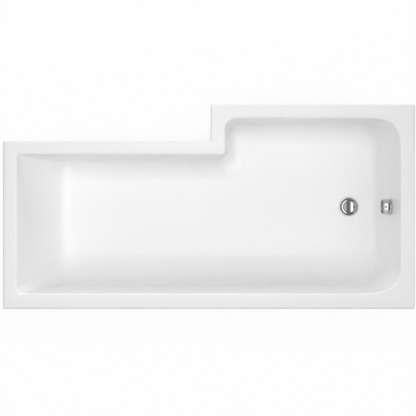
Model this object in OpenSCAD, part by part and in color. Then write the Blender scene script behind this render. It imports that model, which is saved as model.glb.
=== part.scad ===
// L-shaped shower bath: a moulded tub on six screw feet. A turn knob on the
// overflow lifts the plug of the waste through a crank and a lever.
// X runs along the bath, head end to foot end. Y runs from the wall side to the
// room side. Z is up, and the ground is at zero.

/* [Overall size] */
// Overall length, head end to foot end
bath_length = 1700; // [1600:10:1800]
// Width across the shower end
shower_width = 844; // [800:2:900]
// Width across the narrow head end
narrow_width = 692; // [660:2:720]
// Length of the wide shower end
shower_length = 843; // [800:1:880]
// Height of the rim above the ground, feet at mid travel
rim_height = 545; // [530:1:590]
// Inside depth from the rim to the waste
inside_depth = 400; // [370:1:410]
// Fall of the tub floor from the backrest to the waste
floor_fall = 8; // [4:1:12]

/* [Shell] */
// Thickness of the acrylic sheet
shell_wall = 5; // [3.5:0.5:6]
// Thickness of the glass fibre on its back
backing_wall = 2.5; // [1.5:0.5:4]
// Depth of the turned-down lip round the rim
lip_depth = 40; // [34:1:48]
// Radius of the outer edge of the rim
rim_edge = 4; // [2:0.5:6]
// Radius over which the rim rolls into the tub
rim_roll = 10; // [7:1:14]
// Outward bow of the backrest at its foot
backrest_bow = 12; // [0:1:20]
// Radius of the corners of the outline
outline_corner = 6; // [5:1:12]

/* [Rim widths] */
// Rim along the wall
rim_wall_side = 64; // [58:1:72]
// Rim at the foot end
rim_foot_end = 57; // [54:1:66]
// Rim along the shower side
rim_shower_side = 56; // [52:1:64]
// Rim along the step
rim_step = 60; // [56:1:70]
// Rim along the narrow side
rim_narrow_side = 53; // [50:1:62]
// Rim at the head end
rim_head_end = 56; // [52:1:64]

/* [Wall slopes, degrees from upright] */
// Slope of the wall-side wall
slope_wall_side = 7.5; // [4:0.5:10]
// Slope of the foot-end wall
slope_foot_end = 11.5; // [8:0.5:13]
// Slope of the shower-side wall
slope_shower_side = 2; // [1.5:0.5:6]
// Slope of the wall at the step
slope_step = 3.5; // [2:0.5:7]
// Slope of the narrow-side wall
slope_narrow_side = 2; // [1.5:0.5:6]
// Slope of the backrest
slope_backrest = 23; // [20:0.5:28]

/* [Curves between wall and floor] */
// Radius along the wall side
curve_wall_side = 140; // [100:5:150]
// Radius at the foot end
curve_foot_end = 28; // [20:1:40]
// Radius along the shower side
curve_shower_side = 93; // [70:1:110]
// Radius along the step
curve_step = 58; // [40:1:70]
// Radius along the narrow side
curve_narrow_side = 97; // [70:1:110]
// Radius at the foot of the backrest
curve_backrest = 80; // [50:5:110]

/* [Waste] */
// Distance of the waste from the foot end
waste_from_end = 252; // [240:1:270]
// Radius of the waste hole in the shell
waste_hole = 26; // [25.5:0.5:26.5]
// Radius of the waste flange
flange_radius = 36; // [34:0.5:38]
// Radius of the plug
plug_radius = 24; // [23.5:0.5:26]
// Radius of the plug's stem
stem_radius = 4; // [3:0.5:5]
// Lift of the plug
plug_lift = 10; // [6:1:12]
// Length of the lever under the plug
lever_arm = 20; // [18:1:22]
// Radius of the outlet's outer thread, 1 1/2 inch pipe
outlet_radius = 23.9; // [23.5:0.1:24.2]
// Length of the outlet's thread
outlet_length = 30; // [22:1:34]

/* [Overflow] */
// Depth of the overflow's centre below the rim
overflow_depth = 170; // [150:1:190]
// Radius of the overflow hole in the shell
overflow_hole = 26; // [25.5:0.5:28]
// Radius of the back plate
plate_radius = 34; // [32:0.5:38]
// Radius of the knob
knob_radius = 33; // [30:0.5:36]
// Thickness of the knob
knob_thickness = 24.5; // [18:0.5:28]
// Gap between knob and back plate, where the water enters
knob_gap = 2.5; // [1.5:0.5:4]
// Radius of the knob's spindle
spindle_radius = 4; // [3:0.5:5]
// Outer radius of the overflow pipe
pipe_radius = 16; // [15:0.5:18]
// Wall of the overflow pipe
pipe_wall = 2; // [1.5:0.5:3]
// Radius of the pipe's swept bend
pipe_bend = 90; // [60:5:110]

/* [Frame] */
// Thickness of the board under the floor
board_thickness = 16; // [12:1:18]
// Width of the rails under the rim
batten_width = 30; // [24:1:34]
// Height of the rails under the rim
batten_height = 22; // [16:1:25]
// Width of a leg bar
bar_width = 40; // [34:1:50]
// Height of a leg bar
bar_height = 25; // [22:1:30]
// Sheet thickness of a leg bar
bar_sheet = 2; // [1.5:0.5:3]
// Distance of the head-end leg bar from the head end
bar_head_from_end = 330; // [300:5:380]
// Distance of the middle leg bar from the step
bar_middle_from_step = 67; // [50:1:90]
// Distance of the foot-end leg bar from the foot end
bar_foot_from_end = 410; // [390:5:430]
// Distance of each foot's centre from the outer edge of the rim
foot_inset = 60; // [52:1:62]
// Radius of a foot's rod, M10
rod_radius = 5; // [4:0.5:6]
// Radius of a foot's pad
pad_radius = 24; // [18:1:28]
// Free travel of a foot, each way from rest
foot_travel = 20; // [10:1:22]
// Distance between the two wall brackets
bracket_spacing = 1000; // [700:10:1200]
// Distance between the two screw holes of a wall bracket
bracket_hole_spacing = 40; // [30:1:50]
// Radius of the screw holes of a wall bracket
bracket_hole = 3; // [2:0.25:3.5]

/* [Hidden] */
$fn = 64;

white = [0.95, 0.95, 0.94];
chrome = [0.80, 0.80, 0.82];
fibre = [0.84, 0.82, 0.70];
board_colour = [0.72, 0.60, 0.44];
timber = [0.80, 0.66, 0.46];
zinc = [0.66, 0.68, 0.70];
black = [0.12, 0.12, 0.13];
grey = [0.55, 0.56, 0.58];

// Clearances: a part that turns or slides, a part that stands off, a loose hole
running = 0.05;
gap = 0.3;
loose = 0.6;

// Main planes of the bath
half_length = bath_length / 2;
half_width = shower_width / 2;
step_x = half_length - shower_length;
narrow_y = narrow_width - half_width;
waste_floor_z = rim_height - inside_depth;
rim_under_z = rim_height - shell_wall;
skin = shell_wall + backing_wall;
board_top_z = waste_floor_z - skin;
board_under_z = board_top_z - board_thickness;
bar_under_z = board_under_z - bar_height;
backing_top_z = rim_height - lip_depth - 20;

// The six sides, counted from the wall side towards the foot end and round
rim_widths = [rim_wall_side, rim_foot_end, rim_shower_side, rim_step, rim_narrow_side, rim_head_end];
wall_slopes = [slope_wall_side, slope_foot_end, slope_shower_side,
               slope_step, slope_narrow_side, slope_backrest];
floor_curves = [curve_wall_side, curve_foot_end, curve_shower_side,
                curve_step, curve_narrow_side, curve_backrest];
widest_curve = max(floor_curves);
travel = [[1, 0], [0, 1], [-1, 0], [0, -1], [-1, 0], [0, -1]];
side_steps = [9, 3, 4, 1, 5, 4];
arc_steps = 9;

// Each corner's reach along the side before it, along the side after it, and its
// exponent: 2 is an ellipse, more is squarer
rim_corners = [[235, 178, 4.1], [194, 210, 4.4], [52, 40, 2], [20, 20, 2], [10, 10, 2], [24, 24, 2]];
floor_corners = [[110, 90, 2.4], [90, 100, 2.4], [60, 50, 2], [56, 56, 2], [60, 60, 2], [80, 80, 2]];
step_corner = 3;

function blend(a, b, t) = a + (b - a) * t;

// Inward distance of a side's wall plane at a height
function wall_line(side, z) = rim_widths[side] + (rim_height - z) * tan(wall_slopes[side]);

// Inward distance of a side's surface at a height, for the face that lies off behind
// the tub's inside face: the roll at the rim, the sloped wall, the curve to the floor
function inset(side, z, off) =
    let (slope = wall_slopes[side],
         curve = floor_curves[side],
         curve_z = waste_floor_z + curve,
         curve_d = wall_line(side, curve_z - curve * sin(slope)) + curve * cos(slope),
         roll_z = rim_height - rim_roll,
         roll_r = max(rim_roll - off, 1),
         roll_d = wall_line(side, roll_z + rim_roll * sin(slope)) - rim_roll * cos(slope))
    z > roll_z + roll_r * sin(slope) ? roll_d + sqrt(max(0, pow(roll_r, 2) - pow(z - roll_z, 2)))
    : z > curve_z - (curve + off) * sin(slope) ? wall_line(side, z) - off / cos(slope)
    : curve_d - sqrt(max(0, pow(curve + off, 2) - pow(curve_z - z, 2)));

// Where neighbouring sides meet, for six inward distances
function corner_points(d) = [
    [half_length - d[1], d[0] - half_width],
    [half_length - d[1], half_width - d[2]],
    [step_x + d[3], half_width - d[2]],
    [step_x + d[3], narrow_y - d[4]],
    [d[5] - half_length, narrow_y - d[4]],
    [d[5] - half_length, d[0] - half_width]];

// Rounded corner from one direction of travel to the next
function corner_arc(corner, from, to, size) = [
    for (i = [0 : arc_steps])
        let (a = 90 * i / arc_steps, e = 2 / size[2])
        corner + from * size[0] * (pow(sin(a), e) - 1) + to * size[1] * (1 - pow(cos(a), e))];

// Points between two corners, bowed outward at the head end
function side_points(start, end, steps, bow) = [
    for (i = [1 : steps])
        let (t = i / (steps + 1))
        blend(start, end, t) - [bow * sin(180 * t), 0]];

// Closed outline of the bath for six inward distances and six corner sizes
function outline(d, sizes, bow) =
    let (corners = corner_points(d),
         arcs = [for (k = [0 : 5]) corner_arc(corners[k], travel[k], travel[(k + 1) % 6], sizes[k])])
    [for (k = [0 : 5])
        each concat(
            side_points(arcs[(k + 5) % 6][arc_steps], arcs[k][0], side_steps[k], k == 5 ? bow : 0),
            arcs[k])];

// The same radius at all corners. The step's corner turns the other way, so a
// distance outward adds to the others and takes away from it.
function even_corners(r) = [for (k = [0 : 5]) [r, r, 2]];
function offset_corners(sizes, off) = [
    for (k = [0 : 5])
        let (s = k == step_corner ? -off : off)
        [max(sizes[k][0] + s, 2), max(sizes[k][1] + s, 2), sizes[k][2]]];

function at_height(points, z) = [for (p = points) [p[0], p[1], z]];

// Ring of the tub: deep down it climbs towards the backrest, so the floor falls to the waste
waste_x = half_length - waste_from_end;
fall_start = waste_x - flange_radius - 20;
fall_run = fall_start + half_length - rim_head_end - inside_depth * tan(slope_backrest);
function share(t) = min(max(t, 0), 1);
function climb(x, z) =
    floor_fall * share((fall_start - x) / fall_run) * pow(share((rim_height - z) / inside_depth), 2);
function with_fall(points, z) = [for (p = points) [p[0], p[1], z + climb(p[0], z)]];

// Ring of points round the rim or lip, at one inward distance from the outer edge
function edge_ring(d, z) =
    at_height(outline([for (k = [0 : 5]) d], offset_corners(even_corners(outline_corner), -d), 0), z);

// Ring of points round the tub at a height, for the face that lies off behind its inside
function wall_outline(z, off) =
    let (t = share((rim_height - z) / inside_depth))
    outline([for (k = [0 : 5]) inset(k, z, off)],
            offset_corners(blend(rim_corners, floor_corners, t), off), backrest_bow * t);
function wall_ring(z, off) = with_fall(wall_outline(z, off), z);

// Heights of the rings on the roll and on the curve to the floor
function roll_heights(off) = [
    for (a = [90, 55, 25])
        rim_height - rim_roll + max(rim_roll - off, 1) * sin(a)];
function curve_heights(off) = [
    for (a = [12, 30, 45, 57, 67, 76, 84, 90])
        waste_floor_z + widest_curve - (widest_curve + off) * sin(a)];
middle_height = blend(rim_height, waste_floor_z + widest_curve, 0.5);

// Rings of the floor that shrink from its edge to a circle round the waste
recess_depth = 4;
recess_radius = flange_radius + 4;
recess_edge = recess_radius + 5;
function waste_circle(points, r) = [
    for (p = points)
        let (q = [p[0] - waste_x, p[1]])
        [waste_x, 0] + q * r / norm(q)];
function floor_points(off, t) =
    let (edge = wall_outline(waste_floor_z - off, off), circle = waste_circle(edge, recess_edge))
    [for (i = [0 : len(edge) - 1]) blend(circle[i], edge[i], t)];
function floor_rings(off, steps) = [
    for (t = steps) with_fall(floor_points(off, t), waste_floor_z - off)];
function recess_rings(off) =
    let (edge = wall_outline(waste_floor_z - off, off))
    [at_height(waste_circle(edge, recess_edge), waste_floor_z - off),
     at_height(waste_circle(edge, recess_radius), waste_floor_z - recess_depth - off)];

floor_steps = [0.8, 0.5, 0.2];

function reversed(list) = [for (i = [len(list) - 1 : -1 : 0]) list[i]];

// Solid inside a stack of rings, from a top centre point out and round to a bottom one.
// Each four-sided patch is split along its shorter diagonal, so that two skins that
// share rings share their faces too.
module ring_solid(top, rings, bottom) {
    n = len(rings[0]);
    m = len(rings);
    points = concat([top], [for (ring = rings) each ring], [bottom]);
    last = len(points) - 1;
    faces = concat(
        [for (j = [0 : n - 1]) [0, 1 + (j + 1) % n, 1 + j]],
        [for (i = [0 : m - 2], j = [0 : n - 1])
            let (a = 1 + i * n + j, b = 1 + i * n + (j + 1) % n, c = b + n, d = a + n,
                 shorter = norm(points[a] - points[c]) <= norm(points[b] - points[d]))
            each (shorter ? [[a, b, c], [a, c, d]] : [[a, b, d], [b, c, d]])],
        [for (j = [0 : n - 1]) [last, 1 + (m - 1) * n + j, 1 + (m - 1) * n + (j + 1) % n]]);
    polyhedron(points = points, faces = faces);
}

// Overflow centre on the inside face of the foot-end wall, with its axis behind it
overflow_z = rim_height - overflow_depth;
overflow_x = half_length - wall_line(1, overflow_z);
module at_overflow() {
    translate([overflow_x, 0, overflow_z]) rotate([0, 90 + slope_foot_end, 0]) children();
}
// Straight stretch along that axis, from one depth to another
module along_overflow(from, to, radius) {
    translate([0, 0, from]) cylinder(r = radius, h = to - from);
}
function overflow_point(depth) =
    [overflow_x + depth * cos(slope_foot_end), overflow_z - depth * sin(slope_foot_end)];

// The moulded shell, followed from the waste up the inside, over the rim, down the lip
// and back along the underside
module bath_shell() {
    off = shell_wall;
    inner = concat(
        reversed(recess_rings(0)),
        reversed(floor_rings(0, floor_steps)),
        [for (z = reversed(curve_heights(0))) wall_ring(z, 0)],
        [wall_ring(middle_height, 0)],
        [for (z = reversed(roll_heights(0))) wall_ring(z, 0)]);
    edge = concat(
        [for (a = [90, 45, 0])
            edge_ring(rim_edge - rim_edge * cos(a), rim_height - rim_edge + rim_edge * sin(a))],
        [edge_ring(0, rim_height - lip_depth),
         edge_ring(off, rim_height - lip_depth),
         edge_ring(off, rim_under_z)]);
    outer = concat(
        [for (z = roll_heights(off)) wall_ring(z, off)],
        [wall_ring(backing_top_z, off), wall_ring(middle_height, off)],
        [for (z = curve_heights(off)) wall_ring(z, off)],
        floor_rings(off, floor_steps),
        recess_rings(off));
    seat = waste_floor_z - recess_depth;
    color(white) difference() {
        ring_solid([waste_x, 0, seat], concat(inner, edge, outer), [waste_x, 0, seat - off]);
        translate([waste_x, 0, seat - 2 * off]) cylinder(r = waste_hole, h = 3 * off);
        at_overflow() along_overflow(-off, 2 * off, overflow_hole);
    }
}

// Reinforcement on the back of the shell, thickened to a level bed under the floor
module glass_fibre_backing() {
    inside = shell_wall;
    edge = wall_outline(waste_floor_z - skin, skin);
    upper = concat(
        reversed(recess_rings(inside)),
        reversed(floor_rings(inside, floor_steps)),
        [for (z = reversed(curve_heights(inside))) wall_ring(z, inside)],
        [wall_ring(middle_height, inside),
         wall_ring(backing_top_z, inside)]);
    lower = concat(
        [wall_ring(backing_top_z, skin),
         wall_ring(middle_height, skin)],
        [for (z = curve_heights(skin)) wall_ring(z, skin)],
        [for (t = [0.985, 0.5, 0.2]) at_height(floor_points(skin, t), board_top_z)],
        [at_height(waste_circle(edge, recess_edge), board_top_z),
         at_height(waste_circle(edge, recess_radius), board_top_z - recess_depth)]);
    seat = waste_floor_z - recess_depth;
    color(fibre) difference() {
        ring_solid([waste_x, 0, seat - inside], concat(upper, lower), [waste_x, 0, seat - skin]);
        translate([waste_x, 0, seat - 2 * skin]) cylinder(r = waste_hole, h = 3 * skin);
        at_overflow() along_overflow(-skin, 2 * skin, overflow_hole);
    }
}

// Board bonded under the floor, with a notch for the waste and holes for the leg screws
board_margin = 14;
board_corner = 24;
notch_radius = recess_edge + 9;
board_edges = [for (k = [0 : 5]) inset(k, waste_floor_z, 0) + board_margin];
board_low_y = board_edges[0] - half_width;
board_narrow_y = narrow_y - board_edges[4];
board_shower_y = half_width - board_edges[2];
module baseboard() {
    color(board_colour) difference() {
        translate([0, 0, board_under_z]) linear_extrude(board_thickness)
            polygon(outline(board_edges, even_corners(board_corner), 0));
        translate([waste_x, 0, board_under_z - 1]) cylinder(r = notch_radius, h = board_thickness + 2);
        translate([waste_x, -notch_radius, board_under_z - 1])
            cube([waste_from_end, 2 * notch_radius, board_thickness + 2]);
        leg_screw_places() translate([0, 0, -1]) cylinder(r = screw_radius, h = screw_depth + 1);
    }
}

// Rails under the rim. Each lies against the lip and the rim's underside, and the
// short ones stop a little before the long ones.
batten_z = rim_under_z - batten_height;
batten_end_gap = 1;
module batten(low_x, low_y, length_x, length_y) {
    color(timber) translate([low_x, low_y, batten_z]) cube([length_x, length_y, batten_height]);
}
module rim_batten_wall() {
    difference() {
        batten(shell_wall - half_length + outline_corner, shell_wall - half_width,
               bath_length - 2 * (shell_wall + outline_corner), batten_width);
        bracket_screw_places()
            translate([0, 0, -1]) cylinder(r = screw_radius, h = screw_depth + 1);
    }
}
module rim_batten_shower() {
    batten(step_x + shell_wall + outline_corner, half_width - shell_wall - batten_width,
           shower_length - 2 * (shell_wall + outline_corner), batten_width);
}
module rim_batten_narrow() {
    batten(shell_wall - half_length + outline_corner, narrow_y - shell_wall - batten_width,
           bath_length - shower_length - shell_wall, batten_width);
}
module rim_batten_foot() {
    start = shell_wall - half_width + batten_width + batten_end_gap;
    batten(half_length - shell_wall - batten_width, start, batten_width,
           half_width - shell_wall - batten_width - batten_end_gap - start);
}
module rim_batten_head() {
    start = shell_wall - half_width + batten_width + batten_end_gap;
    batten(shell_wall - half_length, start, batten_width,
           narrow_y - shell_wall - batten_width - batten_end_gap - start);
}
module rim_batten_step() {
    start = narrow_y - shell_wall + batten_end_gap;
    batten(step_x + shell_wall, start, batten_width,
           half_width - shell_wall - batten_width - batten_end_gap - start);
}

// Joggled strap under the wall-side rail, with two holes for the wall's screws
strap = 3;
bracket_width = 30;
bracket_margin = 16;
bracket_tab = batten_width - 4;
bracket_top_z = batten_z;
bracket_low_z = rim_height - lip_depth - gap;
bracket_hole_z = bracket_low_z - strap - bracket_margin - bracket_hole_spacing / 2;
bracket_end_z = bracket_hole_z - bracket_margin - bracket_hole_spacing / 2;
bracket_xs = [-bracket_spacing / 2, bracket_spacing / 2];
bracket_screw_y = shell_wall + gap + bracket_tab / 2 - half_width;
module bracket_screw_places() {
    for (x = bracket_xs) translate([x, bracket_screw_y, bracket_top_z]) children();
}
module wall_bracket(x) {
    out_y = -half_width;
    in_y = shell_wall + gap - half_width;
    color(zinc) difference() {
        translate([x - bracket_width / 2, 0, 0]) rotate([90, 0, 90]) linear_extrude(bracket_width)
            polygon([[in_y, bracket_top_z], [in_y + bracket_tab, bracket_top_z],
                     [in_y + bracket_tab, bracket_top_z - strap],
                     [in_y + strap, bracket_top_z - strap],
                     [in_y + strap, bracket_low_z - strap], [out_y + strap, bracket_low_z - strap],
                     [out_y + strap, bracket_end_z], [out_y, bracket_end_z],
                     [out_y, bracket_low_z], [in_y, bracket_low_z]]);
        for (s = [-1, 1])
            translate([x, out_y - 1, bracket_hole_z + s * bracket_hole_spacing / 2])
                rotate([-90, 0, 0]) cylinder(r = bracket_hole, h = strap + 2);
        bracket_screw_places()
            translate([0, 0, -strap - 1]) cylinder(r = screw_radius + gap, h = strap + 2);
    }
}
// Pan-head screws that hold the straps up to the rail and the bars to the board
screw_radius = 2.4;
screw_depth = 12;
screw_head_radius = 4.8;
screw_head_height = 3;
head_clear = 0.1;
module wood_screw(plate) {
    head_z = -plate - head_clear;
    translate([0, 0, head_z]) rotate([180, 0, 0])
        cylinder(r1 = screw_head_radius, r2 = screw_head_radius - 1.6, h = screw_head_height);
    translate([0, 0, head_z]) cylinder(r = screw_radius, h = screw_depth - 0.5 - head_z);
}
module bracket_screws() {
    color(zinc) bracket_screw_places() wood_screw(strap);
}

// Leg bars: channels open below, bent from sheet, with a hole for a rod near each end
bar_xs = [bar_head_from_end - half_length, step_x - bar_middle_from_step, half_length - bar_foot_from_end];
bar_room_edges = [narrow_y, narrow_y, half_width];
bar_end = pad_radius;
function foot_ys(i) = [foot_inset - half_width, bar_room_edges[i] - foot_inset];
board_room_edges = [board_narrow_y, board_narrow_y, board_shower_y];
screw_margin = 26;
function screw_ys(i) =
    let (low = board_low_y + screw_margin, high = board_room_edges[i] - screw_margin)
    [for (t = [0, 1 / 3, 2 / 3, 1]) blend(low, high, t)];
module leg_screw_places() {
    for (i = [0 : 2], y = screw_ys(i))
        translate([bar_xs[i], y, board_under_z]) children();
}
module leg_bar(i) {
    bend = 2 * bar_sheet;
    half = bar_width / 2;
    low = foot_ys(i)[0] - bar_end;
    high = foot_ys(i)[1] + bar_end;
    outer = concat([[-half, 0]],
        [for (a = [180 : -15 : 90]) [bend - half + bend * cos(a), bar_height - bend + bend * sin(a)]],
        [for (a = [90 : -15 : 0]) [half - bend + bend * cos(a), bar_height - bend + bend * sin(a)]],
        [[half, 0]]);
    curl = bend - bar_sheet;
    inner = concat([[half - bar_sheet, 0]],
        [for (a = [0 : 15 : 90]) [half - bend + curl * cos(a), bar_height - bend + curl * sin(a)]],
        [for (a = [90 : 15 : 180]) [bend - half + curl * cos(a), bar_height - bend + curl * sin(a)]],
        [[bar_sheet - half, 0]]);
    color(zinc) difference() {
        translate([bar_xs[i], high, bar_under_z]) rotate([90, 0, 0])
            linear_extrude(high - low) polygon(concat(outer, inner));
        for (y = foot_ys(i))
            translate([bar_xs[i], y, bar_under_z]) cylinder(r = rod_radius + loose, h = 2 * bar_height);
        for (y = screw_ys(i))
            translate([bar_xs[i], y, bar_under_z]) cylinder(r = screw_radius + gap, h = 2 * bar_height);
    }
}
module leg_screws() {
    color(zinc) leg_screw_places() wood_screw(bar_sheet);
}

// Feet: a rod in two nuts on the bar, on a round plastic pad
pad_height = 24;
rod_floor = 6;
rod_stand = 12;
nut_height = 8;
nut_radius = 1.7 * rod_radius / cos(30);
rod_top_z = board_under_z + nut_height + foot_travel + rod_stand;
module foot_places() {
    for (i = [0 : 2], y = foot_ys(i))
        translate([bar_xs[i], y, 0]) children();
}
module at_foot(n) {
    bar = floor(n / 2);
    translate([bar_xs[bar], foot_ys(bar)[n % 2], 0]) children();
}
module foot_rod(n) {
    color(zinc) at_foot(n) {
        translate([0, 0, rod_floor]) cylinder(r = rod_radius, h = rod_top_z - rod_floor - 1);
        translate([0, 0, rod_top_z - 1]) cylinder(r1 = rod_radius, r2 = rod_radius - 1, h = 1);
    }
}
module foot_pad(n) {
    hub = rod_radius + 4;
    color(black) at_foot(n) difference() {
        rotate_extrude() polygon(concat(
            [[0, 0], [pad_radius - 1, 0], [pad_radius, 1], [pad_radius, 4]],
            [for (a = [0 : 15 : 75]) [hub + (pad_radius - hub) * cos(a), 4 + 7 * sin(a)]],
            [[hub, 12], [hub, pad_height - 1], [hub - 1, pad_height], [0, pad_height]]));
        translate([0, 0, rod_floor]) cylinder(r = rod_radius, h = pad_height);
    }
}
// A nut above and a nut below the bar's top, for each rod
module foot_nuts() {
    color(zinc) foot_places() for (z = [board_under_z, board_under_z - bar_sheet - nut_height])
        translate([0, 0, z]) difference() {
            cylinder(r = nut_radius, h = nut_height, $fn = 6);
            translate([0, 0, -1]) cylinder(r = rod_radius + running, h = nut_height + 2);
        }
}

// Waste, from the seat in the tub floor downward
seat_z = waste_floor_z - recess_depth;
flange_seal_height = 1.5;
flange_z = seat_z + flange_seal_height;
barrel_radius = waste_hole - 1.5;
barrel_bore = barrel_radius - 3;
barrel_length = 30;
waste_under_z = seat_z - skin;
waste_seal_height = 3;
body_top_z = waste_under_z - waste_seal_height;
body_flange = waste_hole + 12;
body_radius = barrel_radius + 9.5;
body_lip = 4;
body_slope = 3;
socket_depth = 24;
chamber_top_z = body_top_z - socket_depth;
chamber_height = 18;
chamber_z = chamber_top_z - chamber_height;
chamber_radius = body_radius - 5;
outlet_bore = outlet_radius - 3.9;
body_under_z = chamber_z - 4;
outlet_end_z = body_under_z - outlet_length;
pivot_x = waste_x + lever_arm;
pivot_z = chamber_z + chamber_height / 2;
pivot_radius = 3;
inlet_z = chamber_z + 12;
inlet_bore = pipe_radius - 4;
inlet_radius = inlet_bore + 3;
inlet_x = waste_x + body_radius + 22;
pin_box_y = body_radius + 3;
pin_box_radius = 7;
pin_box_length = 17;
pin_box_end = 3;
lever_tilt = asin(plug_lift / 2 / lever_arm);
tip_radius = 2.5;
lever_tip_z = pivot_z - lever_arm * sin(lever_tilt) + tip_radius;

module at_waste() {
    translate([waste_x, 0, 0]) children();
}
module tube(z, height, outer, inner) {
    translate([0, 0, z]) difference() {
        cylinder(r = outer, h = height);
        translate([0, 0, -1]) cylinder(r = inner, h = height + 2);
    }
}
// Ring let into the floor: rolled edge, sloping seat for the plug, threaded barrel,
// and three arms that carry the stem's guide
flange_seat = plug_radius + 1;
seat_foot = 0.6;
seat_rise = 1.4;
function seat_height(r) = flange_z + seat_foot + seat_rise * (r - barrel_bore) / (flange_seat - barrel_bore);
guide_z = flange_z - barrel_length + 4;
guide_height = 6;
guide_radius = stem_radius + 3;
module waste_flange() {
    crest = 3.6;
    crest_half = (flange_radius - flange_seat) / 2;
    crest_middle = (flange_radius + flange_seat) / 2;
    inner_crest = seat_foot + seat_rise;
    outer_crest = 1;
    color(chrome) at_waste() {
        rotate_extrude() polygon(concat(
            [[barrel_bore, flange_z - barrel_length], [barrel_radius, flange_z - barrel_length],
             [barrel_radius, flange_z], [flange_radius, flange_z]],
            [for (a = [0 : 15 : 180])
                [crest_middle + crest_half * cos(a),
                 flange_z + blend(a > 90 ? inner_crest : outer_crest, crest, sin(a))]],
            [[barrel_bore, flange_z + seat_foot]]));
        for (a = [60 : 120 : 300]) rotate(a)
            translate([stem_radius + 1, -1.5, guide_z])
                cube([barrel_bore - stem_radius - 0.5, 3, guide_height]);
        tube(guide_z, guide_height, guide_radius, stem_radius + running);
    }
}
module flange_seal() {
    color(black) at_waste() tube(seat_z, flange_seal_height, flange_radius - 2, waste_hole + 1);
}
module waste_seal() {
    color(black) at_waste()
        tube(waste_under_z - waste_seal_height, waste_seal_height, body_flange - 1, waste_hole);
}
// Plug: domed cap, seal under it, and the stem that the lever pushes
seal_radius = plug_radius - 1.5;
seal_height = 1.6;
cap_z = seat_height(seal_radius) + gap + seal_height;
cap_rise = 4.5;
module plug_cap() {
    dome = (plug_radius * plug_radius + cap_rise * cap_rise) / (2 * cap_rise);
    reach = asin((plug_radius - 0.8) / dome);
    color(chrome) at_waste() translate([0, 0, cap_z]) rotate_extrude() polygon(concat(
        [[0, 0], [plug_radius - 0.6, 0], [plug_radius, 0.6], [plug_radius, 1.6]],
        [for (i = [8 : -1 : 0])
            [dome * sin(reach * i / 8), 2.4 + cap_rise - dome * (1 - cos(reach * i / 8))]]));
}
module plug_seal() {
    color(black) at_waste() tube(cap_z - seal_height, seal_height, seal_radius, stem_radius);
}
module plug_stem() {
    color(zinc) at_waste() translate([0, 0, lever_tip_z + gap])
        cylinder(r = stem_radius, h = cap_z - lever_tip_z - gap);
}
// Lever: a rocking shaft with an arm under the stem and a short arm up, which is pulled
// towards the overflow
module lift_lever() {
    hub = pivot_radius + 2;
    width = 8;
    arm = 3;
    pull_arm = 7.5;
    color(black) translate([pivot_x, 0, pivot_z]) rotate([0, -lever_tilt, 0]) {
        translate([0, -pin_low, 0]) rotate([-90, 0, 0])
            cylinder(r = pivot_radius, h = pin_low + pin_box_y - pin_box_end - gap);
        translate([-arm / 2, -width / 2, 0]) cube([arm, width, pull_arm]);
        rotate([-90, 0, 0]) translate([0, 0, -width / 2]) cylinder(r = hub, h = width);
        translate([-lever_arm, -width / 2, -arm / 2]) cube([lever_arm, width, arm]);
        translate([-lever_arm, -width / 2, 0]) rotate([-90, 0, 0]) cylinder(r = tip_radius, h = width);
    }
}
chamber_half = sqrt(chamber_radius * chamber_radius - lever_arm * lever_arm);
pin_low = chamber_half + 4;
// Body under the floor: socket for the barrel, lever chamber, pipe inlet, outlet
// thread, and a boss on its side for the lever's shaft
module waste_body() {
    color(grey) difference() {
        union() {
            at_waste() rotate_extrude() polygon([
                [0, outlet_end_z], [outlet_radius - 1, outlet_end_z], [outlet_radius, outlet_end_z + 1],
                [outlet_radius, body_under_z], [body_radius - body_slope, body_under_z],
                [body_radius, body_under_z + body_slope],
                [body_radius, body_top_z - body_lip - body_slope],
                [body_flange, body_top_z - body_lip], [body_flange, body_top_z], [0, body_top_z]]);
            translate([waste_x, 0, inlet_z]) rotate([0, 90, 0])
                cylinder(r = inlet_radius, h = inlet_x - waste_x);
            translate([pivot_x, pin_box_y - pin_box_length, pivot_z]) rotate([-90, 0, 0])
                cylinder(r = pin_box_radius, h = pin_box_length);
        }
        at_waste() {
            translate([0, 0, chamber_top_z]) cylinder(r = barrel_radius + running, h = socket_depth + 1);
            translate([0, 0, chamber_z]) cylinder(r = chamber_radius, h = chamber_height);
            translate([0, 0, outlet_end_z - 1]) cylinder(r = outlet_bore, h = outlet_length + 20);
        }
        translate([waste_x, 0, inlet_z]) rotate([0, 90, 0])
            cylinder(r = inlet_bore, h = inlet_x - waste_x + 1);
        translate([pivot_x, -pin_low - gap, pivot_z]) rotate([-90, 0, 0])
            cylinder(r = pivot_radius + running, h = pin_low + pin_box_y - pin_box_end + gap);
    }
}

// Overflow, by depth behind the inside face of the wall
plate_back = -1.5;
plate_thickness = 5.5;
plate_front = plate_back - plate_thickness;
knob_back = plate_front - knob_gap;
knob_front = knob_back - knob_thickness;
seal_depth = skin + 3;
elbow_flange_depth = seal_depth + 4;
elbow_radius = 32;
elbow_bore = 27;
elbow_front_depth = elbow_flange_depth + 4;
elbow_back_depth = elbow_front_depth + 25.5;
elbow_end = elbow_back_depth + 4;
neck_radius = overflow_hole - 1;
neck_bore = neck_radius - 5;
plate_screw_ring = neck_radius - 2.5;
plate_screw_radius = 1.6;
plate_screw_head = 3;
plate_screw_depth = 9;
spindle_end = elbow_back_depth + 2.2;
pipe_x = overflow_point((elbow_front_depth + elbow_back_depth) / 2)[0];
elbow_centre_z = overflow_point((elbow_front_depth + elbow_back_depth) / 2)[1];
pipe_top_z = elbow_centre_z - elbow_radius - 20;

module plate_screw_places() {
    at_overflow() for (s = [-1, 1]) translate([0, s * plate_screw_ring, 0]) children();
}
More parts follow.
